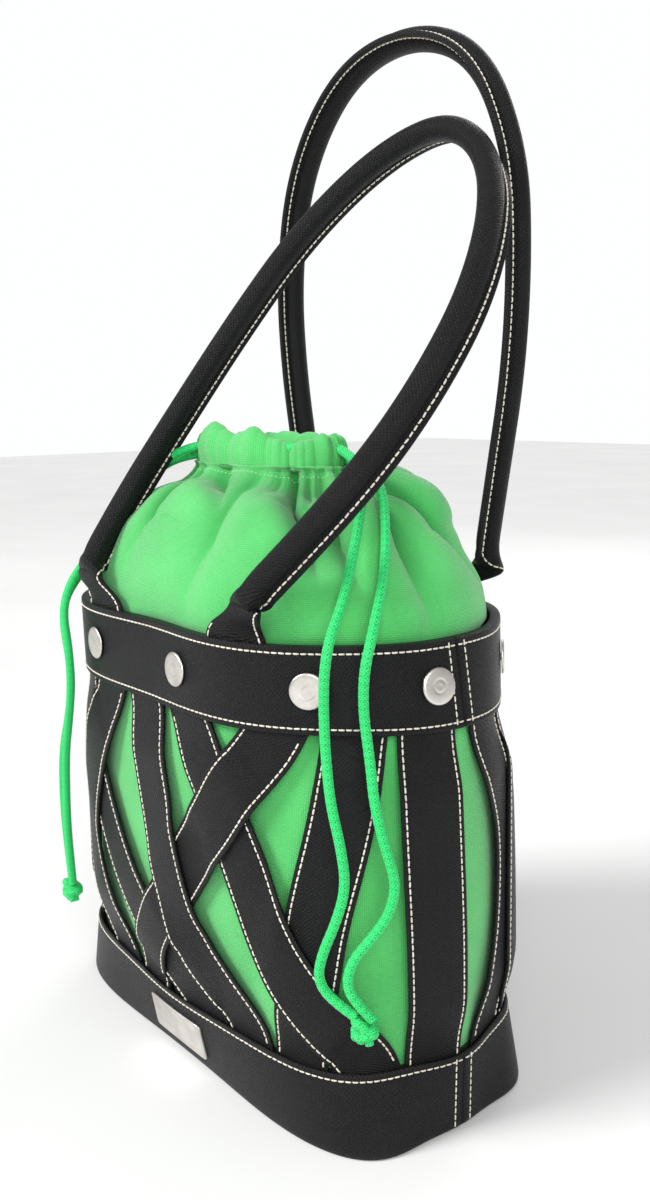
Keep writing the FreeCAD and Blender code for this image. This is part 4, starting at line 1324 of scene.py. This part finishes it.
def foot_rings(name, foot, line):
    """Rings from the tube, over the fold and down to the tab in the band. The
    line is the handle's, away from this foot. Ring angle 0 faces +X."""
    station, way = foot
    side, _, lean, _ = ARCHES[name]
    keys = np.array(FOOT_ROWS)
    values = [np.interp(FOOT_BELOW, keys[:, 0], keys[:, k]) for k in range(1, 6)]
    tube = tube_shape()
    angle = math.radians(lean)
    back = np.array([0.0, -side * math.cos(angle), -math.sin(angle)])
    along = arc_lengths(line)
    rings = []
    lip = lip_turn(name, 1.0) if way > 0 else -lip_turn(name, 0.0)
    for place, half, thick, power, round_part, cage_part in zip(FOOT_BELOW, *values):
        turn = lip * smooth((-place - 1.0) / 11.0)
        turned = tube @ np.array([[math.cos(turn), -math.sin(turn)],
                                  [math.sin(turn), math.cos(turn)]])
        shape = (tab_shape(half, thick, power) * (1 - round_part)
                 + turned * round_part)
        # The tube ends in a dent across its outer face, over the tab.
        front = np.clip(-shape[:, 1] / thick, 0, 1)
        dent = 2.6 * math.exp(-abs(place - 0.6) / 1.3) \
            - 1.0 * math.exp(-((place + 3.2) / 2.2) ** 2)
        shape[:, 1] += front * dent * (0.75 - 0.25 * shape[:, 0] / half)
        shape[:, 0] += 2.6 * math.exp(-((place + 1.0) / 7.0) ** 2)
        d = max(-place, 0.0) * MM
        centre = read_off(line, along, d)
        ahead = read_off(line, along, d + 0.003)
        behind = read_off(line, along, max(d - 0.003, 0))
        upright = smooth((place + 3.6) / 5.6)
        rise = unit(unit(ahead - behind) * (1 - upright)
                    + np.array([0, 0, 1.0]) * upright)
        depth = back * (1 - upright) + np.array([0, -side, 0.0]) * upright
        depth = unit(depth - rise * (depth @ rise))
        across = unit(np.cross(depth, rise))
        if across[0] < 0:
            across = -across
        if place > 0:
            centre = centre - np.array([0, 0, place * MM])
        ring = centre + across * shape[:, :1] * MM + depth * shape[:, 1:] * MM
        sewn = cage(station + side * shape[:, 0],
                    np.full(len(shape), PIVOT_HEIGHT - place), -2.9 - shape[:, 1])
        rings.append(ring * (1 - smooth(cage_part)) + sewn * smooth(cage_part))
    return np.array(rings)


THREAD_GAP = 0.08       # between the leather and a handle's row of stitches


def row_on(rings, angles):
    """Points on the rings at an angle that may change from ring to ring, and
    the direction out of the leather."""
    points, normals = [], []
    for ring, a in zip(rings, angles):
        p, q, r = [read_off(ring, TUBE[:, 0], a + d) for d in (0, 3, -3)]
        t = unit(q - r)
        n = p - ring.mean(0)
        points.append(p)
        normals.append(unit(n - t * (n @ t)))
    points, normals = np.array(points), np.array(normals)
    t = tangents(points)
    normals = unit(normals - t * np.sum(normals * t, 1)[:, None])
    return points + normals * THREAD_GAP * MM, normals


def make_handle(name):
    side, pivot_y, lean, arch = ARCHES[name]
    angle = math.radians(lean)
    controls = [(x, pivot_y - side * away * math.sin(angle),
                 PIVOT_HEIGHT + away * math.cos(angle)) for x, away in arch]
    path = curve_points("arch_" + name, controls)
    fine, along = resample(path, 0.0006)
    fine = smoothed(fine, 20)
    along = arc_lengths(fine)
    right, left = sorted(FEET[name], key=lambda foot: -foot[1])
    rings_left = foot_rings(name, left, fine)
    rings_right = foot_rings(name, right, fine[::-1])
    keep = (along > 0.0172) & (along < along[-1] - 0.0172)
    points = resample(fine[keep], 0.0018)[0]
    back = np.array([0.0, -side * math.cos(angle), -math.sin(angle)])
    across = unit(np.cross(np.broadcast_to(back, points.shape), tangents(points)))
    if across[0][0] < 0:
        across = -across
    shape = tube_shape()
    turn = lip_turn(name, np.linspace(0, 1, len(points)))
    turn = smoothed(turn, 60)[:, None]
    lip = back * np.cos(turn) - across * np.sin(turn)
    inner = across * np.cos(turn) + back * np.sin(turn)
    middle = (points[:, None] + inner[:, None] * shape[None, :, :1] * MM
              + lip[:, None] * shape[None, :, 1:] * MM)
    rings = np.concatenate([rings_left[::-1], middle, rings_right[:, ::-1]])
    around = np.r_[0, np.cumsum(np.linalg.norm(
        np.diff(np.r_[shape, shape[:1]], axis=0), axis=1))] * MM
    travel = arc_lengths(rings.mean(1))
    uv = uv_grid(around, travel)
    b = Builder()
    wear_and_shade = np.zeros(rings.shape[:2])
    wear_and_shade[:, np.abs(TUBE[:, 0] - 90) < 6.5] = 0.4
    one = np.cross(rings[20, 1] - rings[20, 0], rings[21, 0] - rings[20, 0])
    flip = bool(one @ (rings[20, 0] - rings[20].mean(0)) > 0)
    b.grid(rings, uv, wrap_v=True, caps=True, flip=flip, flag=wear_and_shade)
    obj = b.build(f"{name}_handle_leather")
    obj.data.materials.append(LEATHER_MAT)
    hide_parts(f"{name}_handle_cover", f"{name}_handle_foot_left",
                f"{name}_handle_foot_right")
    rows = Stitches()
    count, feet = len(middle), len(FOOT_BELOW)
    # Over the fold a row moves from the lip to the +X edge of the tab.
    turn = smooth((FOOT_BELOW + 7.0) / 12.0)
    down = 79.6 + (-40 - 79.6) * turn
    inside = np.r_[down[::-1], np.full(count + 9, 79.6)]
    rows.row(*row_on(rings[:feet + count + 9], inside), width=0.45)
    outside = np.r_[np.full(count + 9, 100.4), 180 - down]
    rows.row(*row_on(rings[feet - 9:], outside), width=0.45)
    edge = (FOOT_BELOW > 10.5) & (FOOT_BELOW < 20)
    for ring_set in (rings_left, rings_right):
        rows.row(*row_on(ring_set[edge], np.full(edge.sum(), 219.0)), width=0.45)
    thread = rows.build(f"{name}_handle_stitching")
    thread.data.materials.append(THREAD_MAT)
    for piece in (obj, thread):
        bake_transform(piece)
    return obj


for name in ARCHES:
    make_handle(name)

# ------------------------------------------------------------------- stage


def floor_material():
    n = Nodes("pale_floor")
    cloud = n.noise(n.place(), 3.0, 4.0)
    colour = n.mix(n.range(cloud, 0.0, 1.0, 0.3, 0.7), (0.79, 0.788, 0.782),
                   (0.84, 0.838, 0.832))
    n.set(Base_Color=colour, Roughness=0.75)
    return n.material


floor = new_object("floor", [(-6, -6, 0), (6, -6, 0), (6, 6, 0), (-6, 6, 0)],
                   [(0, 1, 2, 3)])
floor.data.materials.append(floor_material())

world = bpy.data.worlds.new("soft_white")
world.use_nodes = True
tree = world.node_tree
sky = tree.nodes["Background"]
sky.inputs[0].default_value = (0.99, 0.995, 1.0, 1)
# The backdrop itself is near white; the light that it sheds is softer.
path = tree.nodes.new("ShaderNodeLightPath")
level = tree.nodes.new("ShaderNodeMapRange")
level.inputs[3].default_value, level.inputs[4].default_value = 0.50, 1.0
tree.links.new(path.outputs["Is Camera Ray"], level.inputs[0])
tree.links.new(level.outputs[0], sky.inputs[1])
bpy.context.scene.world = world
bpy.context.scene.view_settings.view_transform = "Standard"


def lamp(name, kind, place, target, size, power):
    data = bpy.data.lights.new(name, kind)
    if kind == "SUN":
        data.angle = math.radians(size)
    else:
        data.size = size
    data.energy = power
    obj = bpy.data.objects.new(name, data)
    bpy.context.scene.collection.objects.link(obj)
    here, there = np.array(place, float), np.array(target, float)
    back = unit(here - there)
    right = unit(np.cross((0, 0, 1.0), back))
    set_matrix(obj, right, np.cross(back, right), back, here)


def set_matrix(obj, right, up, back, here):
    obj.matrix_world = Matrix((
        (right[0], up[0], back[0], here[0]), (right[1], up[1], back[1], here[1]),
        (right[2], up[2], back[2], here[2]), (0, 0, 0, 1)))


lamp("key", "SUN", (-0.55, -1.45, 1.35), (0, 0, 0.2), 22, 2.9)
lamp("fill", "AREA", (1.5, -0.9, 1.0), (0, 0, 0.25), 1.2, 22)
lamp("rim", "AREA", (-0.7, 1.5, 1.3), (0, 0, 0.3), 1.0, 8)

# ------------------------------------------------------------------ camera
YAW, PITCH, ROLL = math.radians(50.92), math.radians(9.87), math.radians(-0.67)
look = np.array([-math.sin(YAW) * math.cos(PITCH), math.cos(YAW) * math.cos(PITCH),
                 -math.sin(PITCH)])
right = np.array([math.cos(YAW), math.sin(YAW), 0.0])
up = np.cross(right, look)
right_rolled = math.cos(ROLL) * right + math.sin(ROLL) * up
up_rolled = -math.sin(ROLL) * right + math.cos(ROLL) * up
camera_data = bpy.data.cameras.new("camera")
camera_data.sensor_width = 36.0
camera_data.sensor_fit = "AUTO"
camera_data.lens = 33.77
camera_data.shift_y = -0.00625
camera_data.clip_start = 0.01
camera = bpy.data.objects.new("camera", camera_data)
bpy.context.scene.collection.objects.link(camera)
set_matrix(camera, right_rolled, up_rolled, -look, (0.4601, -0.3436, 0.3332))
bpy.context.scene.camera = camera
